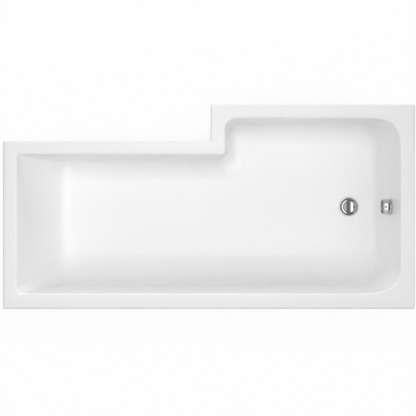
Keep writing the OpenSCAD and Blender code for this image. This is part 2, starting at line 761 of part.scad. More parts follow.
// Back plate with slots for the water and a bearing for the spindle
module overflow_plate() {
    edge = 2;
    slots = 6;
    color(chrome) difference() {
        at_overflow() rotate_extrude() polygon(concat(
            [[0, plate_front], [plate_radius - edge, plate_front]],
            [for (a = [75 : -15 : 0])
                [plate_radius - edge + edge * cos(a), plate_front + edge - edge * sin(a)]],
            [[plate_radius, plate_back], [0, plate_back]]));
        at_overflow() translate([0, 0, plate_front - 1])
            cylinder(r = spindle_radius + running, h = plate_thickness + 2);
        at_overflow() for (i = [0 : slots - 1]) rotate(60 * i)
            translate([13, 0, plate_front - 1]) cylinder(r = 3.5, h = plate_thickness + 2);
        plate_screw_places() {
            translate([0, 0, plate_front - 1])
                cylinder(r = plate_screw_radius + gap, h = plate_thickness + 2);
            translate([0, 0, plate_front - 1]) cylinder(r = plate_screw_head + gap, h = 3);
        }
    }
}
module plate_screws() {
    color(zinc) plate_screw_places() {
        translate([0, 0, plate_front + 0.3]) cylinder(r = plate_screw_head, h = 1.6);
        translate([0, 0, plate_front + 1.9])
            cylinder(r = plate_screw_radius, h = plate_screw_depth - plate_front - 1.9);
    }
}
module overflow_seal_front() {
    color(black) at_overflow() difference() {
        along_overflow(plate_back, 0, plate_radius - 2);
        along_overflow(plate_back - 1, 1, overflow_hole + 1);
    }
}
module overflow_seal_back() {
    color(black) at_overflow() difference() {
        along_overflow(skin, seal_depth, overflow_hole + 11);
        along_overflow(skin - 1, seal_depth + 1, overflow_hole);
    }
}
// Elbow behind the wall: neck through the wall, flange, round chamber, and an outlet
// down to the pipe
module overflow_elbow() {
    color(grey) difference() {
        union() {
            at_overflow() {
                along_overflow(1, elbow_flange_depth, neck_radius);
                along_overflow(seal_depth, elbow_flange_depth, overflow_hole + 12);
                along_overflow(elbow_flange_depth, elbow_end, elbow_radius);
            }
            translate([pipe_x, 0, pipe_top_z])
                cylinder(r = inlet_radius, h = elbow_centre_z - pipe_top_z);
        }
        at_overflow() {
            along_overflow(0, elbow_front_depth, neck_bore);
            along_overflow(elbow_front_depth, elbow_back_depth, elbow_bore);
            along_overflow(elbow_back_depth - 1, spindle_end + gap, spindle_radius + running);
        }
        translate([pipe_x, 0, pipe_top_z - 1])
            cylinder(r = inlet_bore, h = elbow_centre_z - pipe_top_z + 1);
        plate_screw_places() cylinder(r = plate_screw_radius, h = plate_screw_depth);
    }
}
// Knob, dished in front, with a hole for its grub screw at the top
grub_radius = 2.2;
grub_depth = knob_front + 7.5;
grub_length = 9;
knob_floor = knob_front + 4;
module overflow_knob() {
    edge = 3;
    color(chrome) at_overflow() difference() {
        rotate_extrude() polygon(concat(
            [[0, knob_back], [knob_radius - 1, knob_back], [knob_radius, knob_back - 1]],
            [for (a = [0 : 15 : 90])
                [knob_radius - edge + edge * cos(a), knob_front + edge - edge * sin(a)]],
            [for (i = [5 : -1 : 0])
                [(knob_radius - 6) * i / 5, knob_front + 1.4 * (1 - i * i / 25)]]));
        translate([0, 0, knob_floor]) cylinder(r = spindle_radius, h = knob_thickness);
        translate([0, 0, grub_depth]) rotate([0, -90, 0]) cylinder(r = grub_radius, h = knob_radius + 1);
    }
}
module knob_grub_screw() {
    color(zinc) at_overflow() difference() {
        translate([0, 0, grub_depth]) rotate([0, -90, 0])
            cylinder(r = grub_radius, h = spindle_radius + grub_length);
        along_overflow(knob_front, knob_back, spindle_radius);
    }
}
module knob_spindle() {
    color(zinc) at_overflow() along_overflow(knob_floor, spindle_end, spindle_radius);
}
// Crank on the spindle, inside the elbow, that pulls on the lever
module pull_crank() {
    low = elbow_front_depth + 8;
    color(black) at_overflow() difference() {
        union() {
            along_overflow(low, low + 8, spindle_radius + 5);
            translate([-5, 0, low]) cube([10, 20, 5]);
            translate([0, 20, 0]) along_overflow(low, low + 5, 5);
        }
        along_overflow(low - 1, low + 9, spindle_radius);
    }
}

// Overflow pipe: straight down behind the wall, a swept quarter bend, and level to the
// waste. It meets the elbow's and the body's spigots end to end inside their nuts.
module pipe_section() {
    difference() {
        circle(r = pipe_radius);
        circle(r = pipe_radius - pipe_wall);
    }
}
module overflow_pipe() {
    color([0.86, 0.87, 0.88])
        translate([pipe_x - pipe_bend, 0, inlet_z + pipe_bend]) rotate([-90, 0, 0]) {
            rotate_extrude(angle = 90) translate([pipe_bend, 0]) pipe_section();
            translate([pipe_bend, 0, 0]) rotate([90, 0, 0])
                linear_extrude(pipe_top_z - inlet_z - pipe_bend) pipe_section();
            translate([0, pipe_bend, 0]) rotate([0, -90, 0])
                linear_extrude(pipe_x - pipe_bend - inlet_x) pipe_section();
        }
}
// Nuts that clamp the pipe to the elbow and to the waste body
nut_length = 24;
nut_wall = 4;
grip_height = 1;
module pipe_nut() {
    grips = 12;
    shell = pipe_radius + nut_wall;
    difference() {
        union() {
            cylinder(r = shell, h = nut_length);
            for (i = [0 : grips - 1]) rotate(360 / grips * i)
                translate([shell - 1, -2, 2]) cube([grip_height + 1, 4, nut_length - 4]);
        }
        translate([0, 0, -1]) cylinder(r = inlet_radius + gap, h = nut_length + 2);
        translate([0, 0, nut_length / 2]) cylinder(r = pipe_radius + gap, h = nut_length);
    }
}
module pipe_nut_top() {
    color(grey) translate([pipe_x, 0, pipe_top_z + nut_length / 2]) rotate([180, 0, 0]) pipe_nut();
}
module pipe_nut_bottom() {
    color(grey) translate([inlet_x - nut_length / 2, 0, inlet_z]) rotate([0, 90, 0]) pipe_nut();
}

bath_shell();
glass_fibre_backing();
baseboard();
rim_batten_wall();
rim_batten_foot();
rim_batten_shower();
rim_batten_step();
rim_batten_narrow();
rim_batten_head();
wall_bracket(bracket_xs[0]);  // wall_bracket_head
wall_bracket(bracket_xs[1]);  // wall_bracket_foot
bracket_screws();
leg_bar(0);  // leg_bar_head
leg_bar(1);  // leg_bar_middle
leg_bar(2);  // leg_bar_foot
leg_screws();
foot_nuts();
foot_rod(0);  // foot_rod_1
foot_rod(1);  // foot_rod_2
foot_rod(2);  // foot_rod_3
foot_rod(3);  // foot_rod_4
foot_rod(4);  // foot_rod_5
foot_rod(5);  // foot_rod_6
foot_pad(0);  // foot_pad_1
foot_pad(1);  // foot_pad_2
foot_pad(2);  // foot_pad_3
foot_pad(3);  // foot_pad_4
foot_pad(4);  // foot_pad_5
foot_pad(5);  // foot_pad_6
waste_flange();
flange_seal();
waste_seal();
waste_body();
plug_cap();
plug_seal();
plug_stem();
lift_lever();
overflow_plate();
plate_screws();
overflow_seal_front();
overflow_seal_back();
overflow_elbow();
overflow_knob();
knob_spindle();
knob_grub_screw();
pull_crank();
overflow_pipe();
pipe_nut_top();
pipe_nut_bottom();
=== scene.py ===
"""L-shaped shower bath in plain studio light, seen from straight above.

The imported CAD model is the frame. The pieces made here stand where its nodes are, in metres:
the moulded tub and its glass fibre, the chrome waste and overflow, and the threaded and
turned fittings underneath. The CAD's own pieces get their finishes at the end.
"""

import math

import bmesh
import bpy
from mathutils import Matrix, Vector, noise


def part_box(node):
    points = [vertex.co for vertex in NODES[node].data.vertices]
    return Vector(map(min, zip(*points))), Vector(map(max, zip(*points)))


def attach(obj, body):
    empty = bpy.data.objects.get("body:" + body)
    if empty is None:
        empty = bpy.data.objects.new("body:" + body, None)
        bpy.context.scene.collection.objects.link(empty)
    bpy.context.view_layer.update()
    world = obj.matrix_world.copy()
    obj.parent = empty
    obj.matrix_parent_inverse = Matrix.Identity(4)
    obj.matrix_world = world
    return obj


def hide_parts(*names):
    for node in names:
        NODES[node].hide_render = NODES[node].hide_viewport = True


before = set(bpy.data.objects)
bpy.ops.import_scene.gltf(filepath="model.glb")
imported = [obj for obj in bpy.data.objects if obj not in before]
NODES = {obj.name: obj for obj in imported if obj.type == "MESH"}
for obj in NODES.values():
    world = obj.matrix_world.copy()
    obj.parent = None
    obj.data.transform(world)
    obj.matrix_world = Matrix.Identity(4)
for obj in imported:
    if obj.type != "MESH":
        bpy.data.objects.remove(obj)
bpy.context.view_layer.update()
SCENE = bpy.context.scene
SCENE.view_settings.view_transform = "Standard"


def mm(value):
    return value * 0.001


# ---------------------------------------------------------------- sizes
# The overall sizes come from the frame. The tub's own sizes are those of the part, apart from
# the finer curves of its rim and the blend, which follow the highlights in the photo.
SHELL_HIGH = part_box("bath_shell")[1]
HALF_LENGTH = SHELL_HIGH[0]
HALF_WIDTH = SHELL_HIGH[1]
RIM_Z = SHELL_HIGH[2]
SHELL_WALL = mm(5)
BACKING_WALL = mm(2.5)
SKIN = SHELL_WALL + BACKING_WALL
STEP_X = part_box("rim_batten_step")[0][0] - SHELL_WALL
NARROW_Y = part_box("rim_batten_narrow")[1][1] + SHELL_WALL
INSIDE_DEPTH = mm(400)
FLOOR_Z = RIM_Z - INSIDE_DEPTH
FLOOR_FALL = mm(8)
LIP_DEPTH = mm(40)
LIP_EDGE = mm(1)
RIM_EDGE = mm(9)
RIM_ROLL = mm(10)
SMALLEST_RADIUS = mm(1)
BLEND = mm(55)
BLEND_STEPS = 4
BACKREST_BOW = mm(12)
OUTLINE_CORNER = mm(6)
BACKING_TOP_Z = RIM_Z - LIP_DEPTH - mm(20)

# The six sides, counted from the wall side towards the foot end and round
SIDES = range(6)
FOOT_SIDE = 1
HEAD_SIDE = 5
STEP_CORNER = 3
RIM_WIDTHS = [mm(w) for w in (64, 57, 56, 60, 53, 56)]
RIM_ROLLS = [mm(r) for r in (10, 10, 5, 6, 5, 10)]
WALL_SLOPES = [math.radians(a) for a in (7.5, 11.5, 2, 3.5, 2, 23)]
FLOOR_CURVES = [mm(r) for r in (140, 28, 93, 58, 97, 80)]
TRAVEL = [(1, 0), (0, 1), (-1, 0), (0, -1), (-1, 0), (0, -1)]
SIDE_STEPS = [64, 14, 26, 4, 44, 30]
ARC_STEPS = 18
# Each corner's reach before and after it, in millimetres, and its exponent
RIM_CORNERS = [
    (235, 178, 4.1), (194, 210, 4.4), (52, 40, 2), (20, 20, 2), (10, 10, 2), (24, 24, 2),
]
FLOOR_CORNERS = [
    (110, 90, 2.4), (90, 100, 2.4), (60, 50, 2), (56, 56, 2), (60, 60, 2), (80, 80, 2),
]

WASTE_X = sum(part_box("waste_flange")[i][0] for i in (0, 1)) / 2
FLANGE_RADIUS = (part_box("waste_flange")[1][0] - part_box("waste_flange")[0][0]) / 2
WASTE_HOLE = mm(26)
RECESS_DEPTH = mm(4)
RECESS_RADIUS = FLANGE_RADIUS + mm(4)
RECESS_EDGE = RECESS_RADIUS + mm(5)
FALL_START = WASTE_X - FLANGE_RADIUS - mm(20)
BACKREST_RUN = INSIDE_DEPTH * math.tan(WALL_SLOPES[HEAD_SIDE])
FALL_RUN = FALL_START + HALF_LENGTH - RIM_WIDTHS[HEAD_SIDE] - BACKREST_RUN
OVERFLOW_Z = RIM_Z - mm(170)
OVERFLOW_HOLE = mm(26)
HOLE_POINTS = 96


def mix(a, b, t):
    return a + (b - a) * t


def share(t):
    return min(max(t, 0.0), 1.0)


def angles(low, high, steps):
    return [math.radians(mix(low, high, i / steps)) for i in range(steps + 1)]


# ---------------------------------------------------------------- meshes
def new_object(name, verts, faces, sharp=35.0):
    """A smooth-shaded mesh object whose edges over the sharp angle stay crisp."""
    mesh = bpy.data.meshes.new(name)
    mesh.from_pydata([tuple(v) for v in verts], [], faces)
    mesh.validate()
    mesh.update()
    mesh.shade_smooth()
    mesh.set_sharp_from_angle(angle=math.radians(sharp))
    return linked(name, mesh)


def linked(name, data):
    """A new object of the scene that holds a mesh, lamp or camera."""
    made = bpy.data.objects.new(name, data)
    bpy.context.collection.objects.link(made)
    return made


def ring_mesh(name, rings, closed_loop=False, sharp=35.0):
    """Joins rings of equally many points with four-sided faces."""
    count = len(rings[0])
    verts = [p for ring in rings for p in ring]
    faces = []
    last = len(rings) if closed_loop else len(rings) - 1
    for i in range(last):
        low, high = i * count, ((i + 1) % len(rings)) * count
        for j in range(count):
            k = (j + 1) % count
            faces.append((low + j, low + k, high + k, high + j))
    return new_object(name, verts, faces, sharp)


def recalc_normals(piece):
    work = bmesh.new()
    work.from_mesh(piece.data)
    bmesh.ops.recalc_face_normals(work, faces=work.faces)
    work.to_mesh(piece.data)
    work.free()


def boolean(piece, other, operation):
    """Joins another piece to a piece as one solid, or takes it away."""
    change = piece.modifiers.new("change", "BOOLEAN")
    change.operation = operation
    change.object = other
    change.solver = "EXACT"
    bpy.context.view_layer.objects.active = piece
    bpy.ops.object.modifier_apply(modifier=change.name)
    bpy.data.objects.remove(other, do_unlink=True)


def cut_hole(piece, radius, depth, matrix):
    """Cuts a round hole along a matrix's own Z axis."""
    bpy.ops.mesh.primitive_cylinder_add(vertices=HOLE_POINTS, radius=radius, depth=depth)
    cutter = bpy.context.object
    cutter.matrix_world = matrix
    boolean(piece, cutter, "DIFFERENCE")
    piece.data.shade_smooth()
    piece.data.set_sharp_from_angle(angle=math.radians(50))


# ---------------------------------------------------------------- the tub's surface
def wall_line(side, z):
    return RIM_WIDTHS[side] + (RIM_Z - z) * math.tan(WALL_SLOPES[side])


def inset(side, z, off):
    """Inward distance of a side's surface, with soft changes between wall and floor curve."""
    half = min(BLEND, (z - FLOOR_Z + off) / 2, (RIM_Z - RIM_ROLL - z) / 2)
    if half <= 0:
        return sharp_inset(side, z, off)
    near = [z + half * i / BLEND_STEPS for i in range(-BLEND_STEPS, BLEND_STEPS + 1)]
    return sum(sharp_inset(side, height, off) for height in near) / len(near)


def sharp_inset(side, z, off):
    """Inward distance of a side's surface at a height, off behind the inside face."""
    slope = WALL_SLOPES[side]
    curve = FLOOR_CURVES[side]
    curve_z = FLOOR_Z + curve
    curve_d = wall_line(side, curve_z - curve * math.sin(slope)) + curve * math.cos(slope)
    roll = RIM_ROLLS[side]
    roll_z = RIM_Z - roll
    roll_r = max(roll - off, SMALLEST_RADIUS)
    roll_d = wall_line(side, roll_z + roll * math.sin(slope)) - roll * math.cos(slope)
    if z > roll_z + roll_r * math.sin(slope):
        return roll_d + math.sqrt(max(0, roll_r**2 - (z - roll_z) ** 2))
    if z > curve_z - (curve + off) * math.sin(slope):
        return wall_line(side, z) - off / math.cos(slope)
    return curve_d - math.sqrt(max(0, (curve + off) ** 2 - (curve_z - z) ** 2))


def corner_points(d):
    return [
        (HALF_LENGTH - d[1], d[0] - HALF_WIDTH),
        (HALF_LENGTH - d[1], HALF_WIDTH - d[2]),
        (STEP_X + d[3], HALF_WIDTH - d[2]),
        (STEP_X + d[3], NARROW_Y - d[4]),
        (d[5] - HALF_LENGTH, NARROW_Y - d[4]),
        (d[5] - HALF_LENGTH, d[0] - HALF_WIDTH),
    ]


def corner_arc(corner, start, end, size):
    """Rounded corner from one direction of travel to the next."""
    before, after, exponent = size
    points = []
    for i in range(ARC_STEPS + 1):
        a = math.pi / 4 * (1 - math.cos(math.pi * i / ARC_STEPS))
        power = 2 / exponent
        back = before * (max(math.sin(a), 0) ** power - 1)
        on = after * (1 - max(math.cos(a), 0) ** power)
        points.append(tuple(corner[n] + start[n] * back + end[n] * on for n in (0, 1)))
    return points


def outline(d, sizes, bow):
    """The L outline, d in from each side. The backrest bows outwards."""
    corners = corner_points(d)
    arcs = [corner_arc(corners[k], TRAVEL[k], TRAVEL[(k + 1) % 6], sizes[k]) for k in SIDES]
    points = []
    for k in SIDES:
        start, end = arcs[k - 1][-1], arcs[k][0]
        for i in range(1, SIDE_STEPS[k] + 1):
            t = i / (SIDE_STEPS[k] + 1)
            push = bow * math.sin(math.pi * t) if k == HEAD_SIDE else 0
            points.append((mix(start[0], end[0], t) - push, mix(start[1], end[1], t)))
        points.extend(arcs[k])
    return points


def moved_corners(sizes, off):
    """Corner sizes off behind the face. The step's corner turns the other way."""
    moved = []
    for k, (before, after, exponent) in enumerate(sizes):
        s = -off if k == STEP_CORNER else off
        moved.append((max(before + s, mm(2)), max(after + s, mm(2)), exponent))
    return moved


def climb(x, z):
    """Deep down the tub climbs towards the backrest, so the floor falls to the waste."""
    along = share((FALL_START - x) / FALL_RUN)
    deep = share((RIM_Z - z) / INSIDE_DEPTH)
    return FLOOR_FALL * along * deep**2


def with_fall(points, z):
    return [(x, y, z + climb(x, z)) for x, y in points]


def wall_outline(z, off):
    t = share((RIM_Z - z) / INSIDE_DEPTH)
    sizes = [
        (mm(mix(a[0], b[0], t)), mm(mix(a[1], b[1], t)), mix(a[2], b[2], t))
        for a, b in zip(RIM_CORNERS, FLOOR_CORNERS)
    ]
    insets = [inset(k, z, off) for k in SIDES]
    return outline(insets, moved_corners(sizes, off), BACKREST_BOW * t)


def wall_ring(z, off):
    return with_fall(wall_outline(z, off), z)


def edge_ring(d, z):
    sizes = moved_corners([(OUTLINE_CORNER, OUTLINE_CORNER, 2)] * 6, -d)
    return [(x, y, z) for x, y in outline([d] * 6, sizes, 0)]


def roll_heights(off, steps=10):
    roll = max(RIM_ROLL - off, SMALLEST_RADIUS)
    return [RIM_Z - RIM_ROLL + roll * math.sin(a) for a in angles(90, 12, steps)]


def wall_heights(steps=16):
    high = RIM_Z - RIM_ROLL
    low = FLOOR_Z + max(FLOOR_CURVES)
    return [mix(high, low, i / steps) for i in range(steps + 1)]


def curve_heights(off, steps=44):
    widest = max(FLOOR_CURVES)
    return [FLOOR_Z + widest - (widest + off) * math.sin(a) for a in angles(3, 90, steps)]


def circle_towards(points, radius, z):
    """The point of a circle round the waste that lies in line with each given point."""
    ring = []
    for x, y in points:
        reach = math.hypot(x - WASTE_X, y)
        ring.append((WASTE_X + (x - WASTE_X) * radius / reach, y * radius / reach, z))
    return ring


def between(circle, edge, t):
    """Points from a circle round the waste (0) out to the floor's edge (1)."""
    return [(mix(c[0], e[0], t), mix(c[1], e[1], t)) for c, e in zip(circle, edge)]


def floor_rings(off, steps=20):
    """From the floor's edge in to the rim of the recess round the waste."""
    edge = wall_outline(FLOOR_Z - off, off)
    circle = circle_towards(edge, RECESS_EDGE, 0)
    shares = [(1 - i / steps) ** 1.3 for i in range(1, steps + 1)]
    return [with_fall(between(circle, edge, t), FLOOR_Z - off) for t in shares]


def recess_rings(off, steps=8):
    """Down the soft edge of the recess and in to the waste hole."""
    edge = wall_outline(FLOOR_Z - off, off)
    rings = []
    for i in range(1, steps + 1):
        t = i / steps
        drop = RECESS_DEPTH * (1 - math.cos(math.pi * t)) / 2
        radius = mix(RECESS_EDGE, RECESS_RADIUS, t)
        rings.append(circle_towards(edge, radius, FLOOR_Z - off - drop))
    rings.append(circle_towards(edge, WASTE_HOLE, FLOOR_Z - off - RECESS_DEPTH))
    return rings


def tub_side(off):
    """Every ring of one face of the tub, from the rim down to the waste hole."""
    heights = roll_heights(off) + wall_heights() + curve_heights(off)
    return [wall_ring(z, off) for z in heights] + floor_rings(off) + recess_rings(off)


def build_shell():
    """The moulded tub: its inside, its rim with the lip that hangs from it, and its back."""
    outward = [
        edge_ring(RIM_EDGE * (1 - math.cos(a)), RIM_Z - RIM_EDGE * (1 - math.sin(a)))
        for a in angles(90, 0, 8)
    ]
    lip_z = RIM_Z - LIP_DEPTH
    lip = [
        edge_ring(0, lip_z + LIP_EDGE),
        edge_ring(LIP_EDGE, lip_z),
        edge_ring(SHELL_WALL - LIP_EDGE, lip_z),
        edge_ring(SHELL_WALL, lip_z + LIP_EDGE),
        edge_ring(SHELL_WALL, RIM_Z - SHELL_WALL),
    ]
    inside = list(reversed(tub_side(0)))
    rings = inside + outward + lip + tub_side(SHELL_WALL)
    shell = ring_mesh("tub", rings, closed_loop=True, sharp=50)
    recalc_normals(shell)
    return shell


# Stands on the foot-end wall's inside face, and its own +Z points into the wall
OVERFLOW_FRAME = Matrix.Translation(
    (HALF_LENGTH - wall_line(FOOT_SIDE, OVERFLOW_Z), 0, OVERFLOW_Z)
) @ Matrix.Rotation(math.radians(90) + WALL_SLOPES[FOOT_SIDE], 4, "Y")


# ---------------------------------------------------------------- materials
def rgb(r, g, b):
    return (r, g, b, 1.0)


def grey(level):
    return rgb(level, level, level)


class Nodes:
    """Short names for a material's node tree."""

    def __init__(self, name):
        self.material = bpy.data.materials.new(name)
        self.material.use_nodes = True
        self.tree = self.material.node_tree
        self.shader = self.tree.nodes["Principled BSDF"]

    def feed(self, socket, value):
        """Links another node's output to a socket, or sets the socket's own value."""
        if isinstance(value, bpy.types.NodeSocket):
            self.tree.links.new(value, socket)
        else:
            socket.default_value = value

    def add(self, kind, inputs=None, **settings):
        node = self.tree.nodes.new(kind)
        for key, value in settings.items():
            setattr(node, key, value)
        for key, value in (inputs or {}).items():
            self.feed(node.inputs[key], value)
        return node

    def set(self, **values):
        for key, value in values.items():
            self.feed(self.shader.inputs[key.replace("_", " ")], value)

    def coordinates(self):
        return self.add("ShaderNodeTexCoord").outputs["Object"]

    def place(self, scale=(1, 1, 1)):
        inputs = {"Vector": self.coordinates(), "Scale": scale}
        return self.add("ShaderNodeMapping", inputs).outputs["Vector"]

    def noise(self, vector, scale, detail=3.0):
        inputs = {"Vector": vector, "Scale": scale, "Detail": detail}
        return self.add("ShaderNodeTexNoise", inputs).outputs["Fac"]

    def cells(self, vector, scale, channel):
        """A random value from 0 to 1 for each cell, from one channel of its colour."""
        inputs = {"Vector": vector, "Scale": scale, "Randomness": 1.0}
        colour = self.add("ShaderNodeTexVoronoi", inputs).outputs["Color"]
        return self.add("ShaderNodeSeparateColor", {"Color": colour}).outputs[channel]

    def ramp(self, value, low, high, start, end):
        """Turns the values from start to end into values from low to high."""
        inputs = {"Value": value, "From Min": start, "From Max": end}
        inputs |= {"To Min": low, "To Max": high}
        return self.add("ShaderNodeMapRange", inputs).outputs["Result"]

    def calculate(self, operation, a, b):
        return self.add("ShaderNodeMath", {0: a, 1: b}, operation=operation).outputs[0]

    def blend(self, fac, a, b):
        node = self.add("ShaderNodeMix", data_type="RGBA")
        for key, value in (("Factor", fac), ("A", a), ("B", b)):
            self.feed([s for s in node.inputs if s.name == key and s.enabled][0], value)
        return [s for s in node.outputs if s.enabled][0]

    def bump(self, height, strength, distance):
        inputs = {"Height": height, "Strength": strength, "Distance": distance}
        self.set(Normal=self.add("ShaderNodeBump", inputs).outputs["Normal"])


def acrylic():
    m = Nodes("acrylic_white")
    place = m.place()
    drift = m.noise(place, 3.0, 2.0)
    m.set(
        Base_Color=m.blend(drift, rgb(0.922, 0.924, 0.923), rgb(0.936, 0.938, 0.937)),
        Roughness=m.ramp(m.noise(place, 14.0), 0.17, 0.21, 0.3, 0.7),
        IOR=1.49,
    )
    m.bump(m.noise(place, 240.0, 1.0), 0.02, mm(0.2))
    return m.material


def plain(name, colour, roughness, metallic=0.0, grain=60.0, spread=0.04, bump=0.1):
    """A finish whose colour, gloss and surface vary a little, at a given grain."""
    m = Nodes(name)
    place = m.place()
    drift = m.noise(place, grain)
    low = rgb(*[max(0.0, c * (1 - spread)) for c in colour])
    high = rgb(*[min(1.0, c * (1 + spread)) for c in colour])
    m.set(
        Base_Color=m.blend(drift, low, high),
        Roughness=m.ramp(drift, roughness * 0.85, min(1.0, roughness * 1.2), 0.3, 0.7),
        Metallic=metallic,
    )
    m.bump(m.noise(place, grain * 6, 2.0), bump, mm(0.3))
    return m.material


def chrome(name, edge):
    """Polished chrome, darker by the edge factor where it turns away: the edge tint is painted
    shade along its steep edges.
    """
    m = Nodes(name)
    place = m.place()
    drift = m.noise(place, 60.0)
    m.set(
        Base_Color=m.blend(drift, rgb(0.63, 0.635, 0.64), rgb(0.66, 0.665, 0.67)),
        Roughness=m.ramp(m.noise(place, 25.0), 0.05, 0.09, 0.3, 0.7),
        Metallic=1.0,
        Specular_Tint=grey(edge),
    )
    m.bump(m.noise(place, 300.0, 1.0), 0.01, mm(0.05))
    return m.material


def glass_fibre():
    """Chopped strands in resin: layers of long threads, each in a direction of its own."""
    m = Nodes("glass_fibre_resin")
    coordinates = m.coordinates()
    layers = 0.0
    for tilt, turn in ((25, 10), (-35, 65), (50, 120), (-15, 150), (70, 35)):
        inputs = {
            "Vector": coordinates,
            "Rotation": (0, math.radians(tilt), math.radians(turn)),
            "Scale": (mm(50), mm(4), mm(4)),
        }
        spin = m.add("ShaderNodeMapping", inputs, vector_type="TEXTURE").outputs["Vector"]
        strands = m.ramp(m.noise(spin, 1.0, 1.0), 0, 1, 0.6, 0.68)
        layers = m.calculate("MAXIMUM", layers, strands)
    cloud = m.noise(coordinates, 9.0, 4.0)
    resin = m.blend(cloud, rgb(0.50, 0.51, 0.46), rgb(0.60, 0.61, 0.56))
    m.set(
        Base_Color=m.blend(m.ramp(layers, 0, 0.75, 0, 1), resin, rgb(0.72, 0.73, 0.69)),
        Roughness=m.ramp(layers, 0.32, 0.62, 0, 1),
    )
    m.bump(layers, 0.5, mm(0.5))
    return m.material


def chipboard():
    """Pressed wood chips of mixed browns."""
    m = Nodes("chipboard_raw")
    place = m.place((1, 1, 1.6))
    chips = m.cells(place, 160.0, "Red")
    dust = m.cells(place, 420.0, "Green")
    wood = m.blend(chips, rgb(0.40, 0.27, 0.15), rgb(0.66, 0.50, 0.31))
    m.set(
        Base_Color=m.blend(m.ramp(dust, 0, 0.45, 0, 1), wood, rgb(0.55, 0.42, 0.27)),
        Roughness=m.ramp(chips, 0.78, 0.9, 0, 1),
    )
    m.bump(m.calculate("ADD", chips, dust), 0.4, mm(0.4))
    return m.material


def timber(name, order):
    """Sawn softwood: growth rings, fibres and a few darker streaks along its length."""
    m = Nodes(name)
    parts = m.add("ShaderNodeSeparateXYZ", {"Vector": m.coordinates()})
    axes = {i: parts.outputs[axis] for i, axis in enumerate(order)}
    along = m.add("ShaderNodeCombineXYZ", axes).outputs["Vector"]
    grain = m.add("ShaderNodeMapping", {"Vector": along, "Scale": (1.2, 22, 22)})
    waves = {"Scale": 2.2, "Distortion": 7.0, "Detail": 2.0, "Detail Scale": 0.7}
    rings = m.add(
        "ShaderNodeTexWave",
        {"Vector": grain.outputs["Vector"], **waves},
        wave_type="BANDS",
        bands_direction="DIAGONAL",
    ).outputs["Fac"]
    threads = m.add("ShaderNodeMapping", {"Vector": along, "Scale": (14, 700, 700)})
    fibres = m.noise(threads.outputs["Vector"], 1.0)
    pale = m.blend(fibres, rgb(0.66, 0.50, 0.31), rgb(0.76, 0.61, 0.41))
    m.set(
        Base_Color=m.blend(m.ramp(rings, 0, 0.7, 0.45, 1), pale, rgb(0.52, 0.34, 0.18)),
        Roughness=m.ramp(fibres, 0.62, 0.8, 0.3, 0.7),
    )
    m.bump(fibres, 0.35, mm(0.3))
    return m.material


def galvanised():
    """Zinc-dipped sheet steel with its crystal spangle."""
    m = Nodes("galvanised_steel")
    place = m.place()
    tone = m.cells(place, 110.0, "Red")
    m.set(
        Base_Color=m.blend(tone, rgb(0.52, 0.54, 0.56), rgb(0.68, 0.70, 0.72)),
        Roughness=m.ramp(tone, 0.34, 0.52, 0, 1),
        Metallic=0.95,
    )
    m.bump(m.noise(place, 400.0, 2.0), 0.08, mm(0.2))
    return m.material


ACRYLIC = acrylic()
GLASS_FIBRE = glass_fibre()
CHIPBOARD = chipboard()
TIMBER_X = timber("timber_along_x", (0, 1, 2))
TIMBER_Y = timber("timber_along_y", (1, 0, 2))
GALVANISED = galvanised()
# Both chromes get painted shade where they turn away from view: strong on the waste, slight on
# the overflow
CHROME = chrome("chrome_with_painted_edge_shade", edge=0.3)
BRIGHT_CHROME = chrome("chrome_with_slight_painted_edge_shade", edge=0.85)
ZINC = plain(
    "zinc_bright", (0.70, 0.71, 0.72), 0.28, metallic=1.0, grain=90.0, spread=0.05, bump=0.03
)
BLACK_STEEL = plain(
    "black_oxide",
    (0.030, 0.030, 0.032),
    0.38,
    metallic=0.6,
    grain=200.0,
    spread=0.15,
    bump=0.05,
)
RUBBER = plain(
    "rubber_black", (0.022, 0.022, 0.024), 0.72, grain=120.0, spread=0.2, bump=0.15
)
BLACK = plain(
    "plastic_black", (0.028, 0.028, 0.030), 0.48, grain=160.0, spread=0.12, bump=0.12
)
WHITE = plain("plastic_white", (0.74, 0.75, 0.75), 0.38, spread=0.02, bump=0.08)
PIPE = plain("pipe_plastic", (0.80, 0.81, 0.82), 0.34, grain=30.0, spread=0.02, bump=0.05)


# ---------------------------------------------------------------- camera, lights, floor
# The camera looks straight down from high up, almost without perspective
CAMERA_PLACE = (-0.0037, -0.005, RIM_Z + 12.0)
CAMERA_LENS = 251.6
CAMERA_SENSOR = 36
CAMERA_REACH = 60

FLOOR_REACH = 30
FLOOR_GREY = 0.5
FLOOR_GLOW = 0.965
SHADOW_REACH = 0.24
SHADOW = 0.7

# How bright the world is for matt surfaces. For shiny ones it is a studio's greys, from its
# head end (0) through the zenith (0.5) to its foot end (1).
WORLD = 0.1
SKY_ACROSS = [
    (0.0, 0.3), (0.19, 0.3), (0.225, 0.66), (0.385, 0.66), (0.43, 0.17), (0.515, 0.19),
    (0.56, 0.36), (0.592, 0.42), (0.61, 1.7), (0.68, 1.7), (0.76, 2.2), (0.9, 2.2), (1.0, 0.8),
]

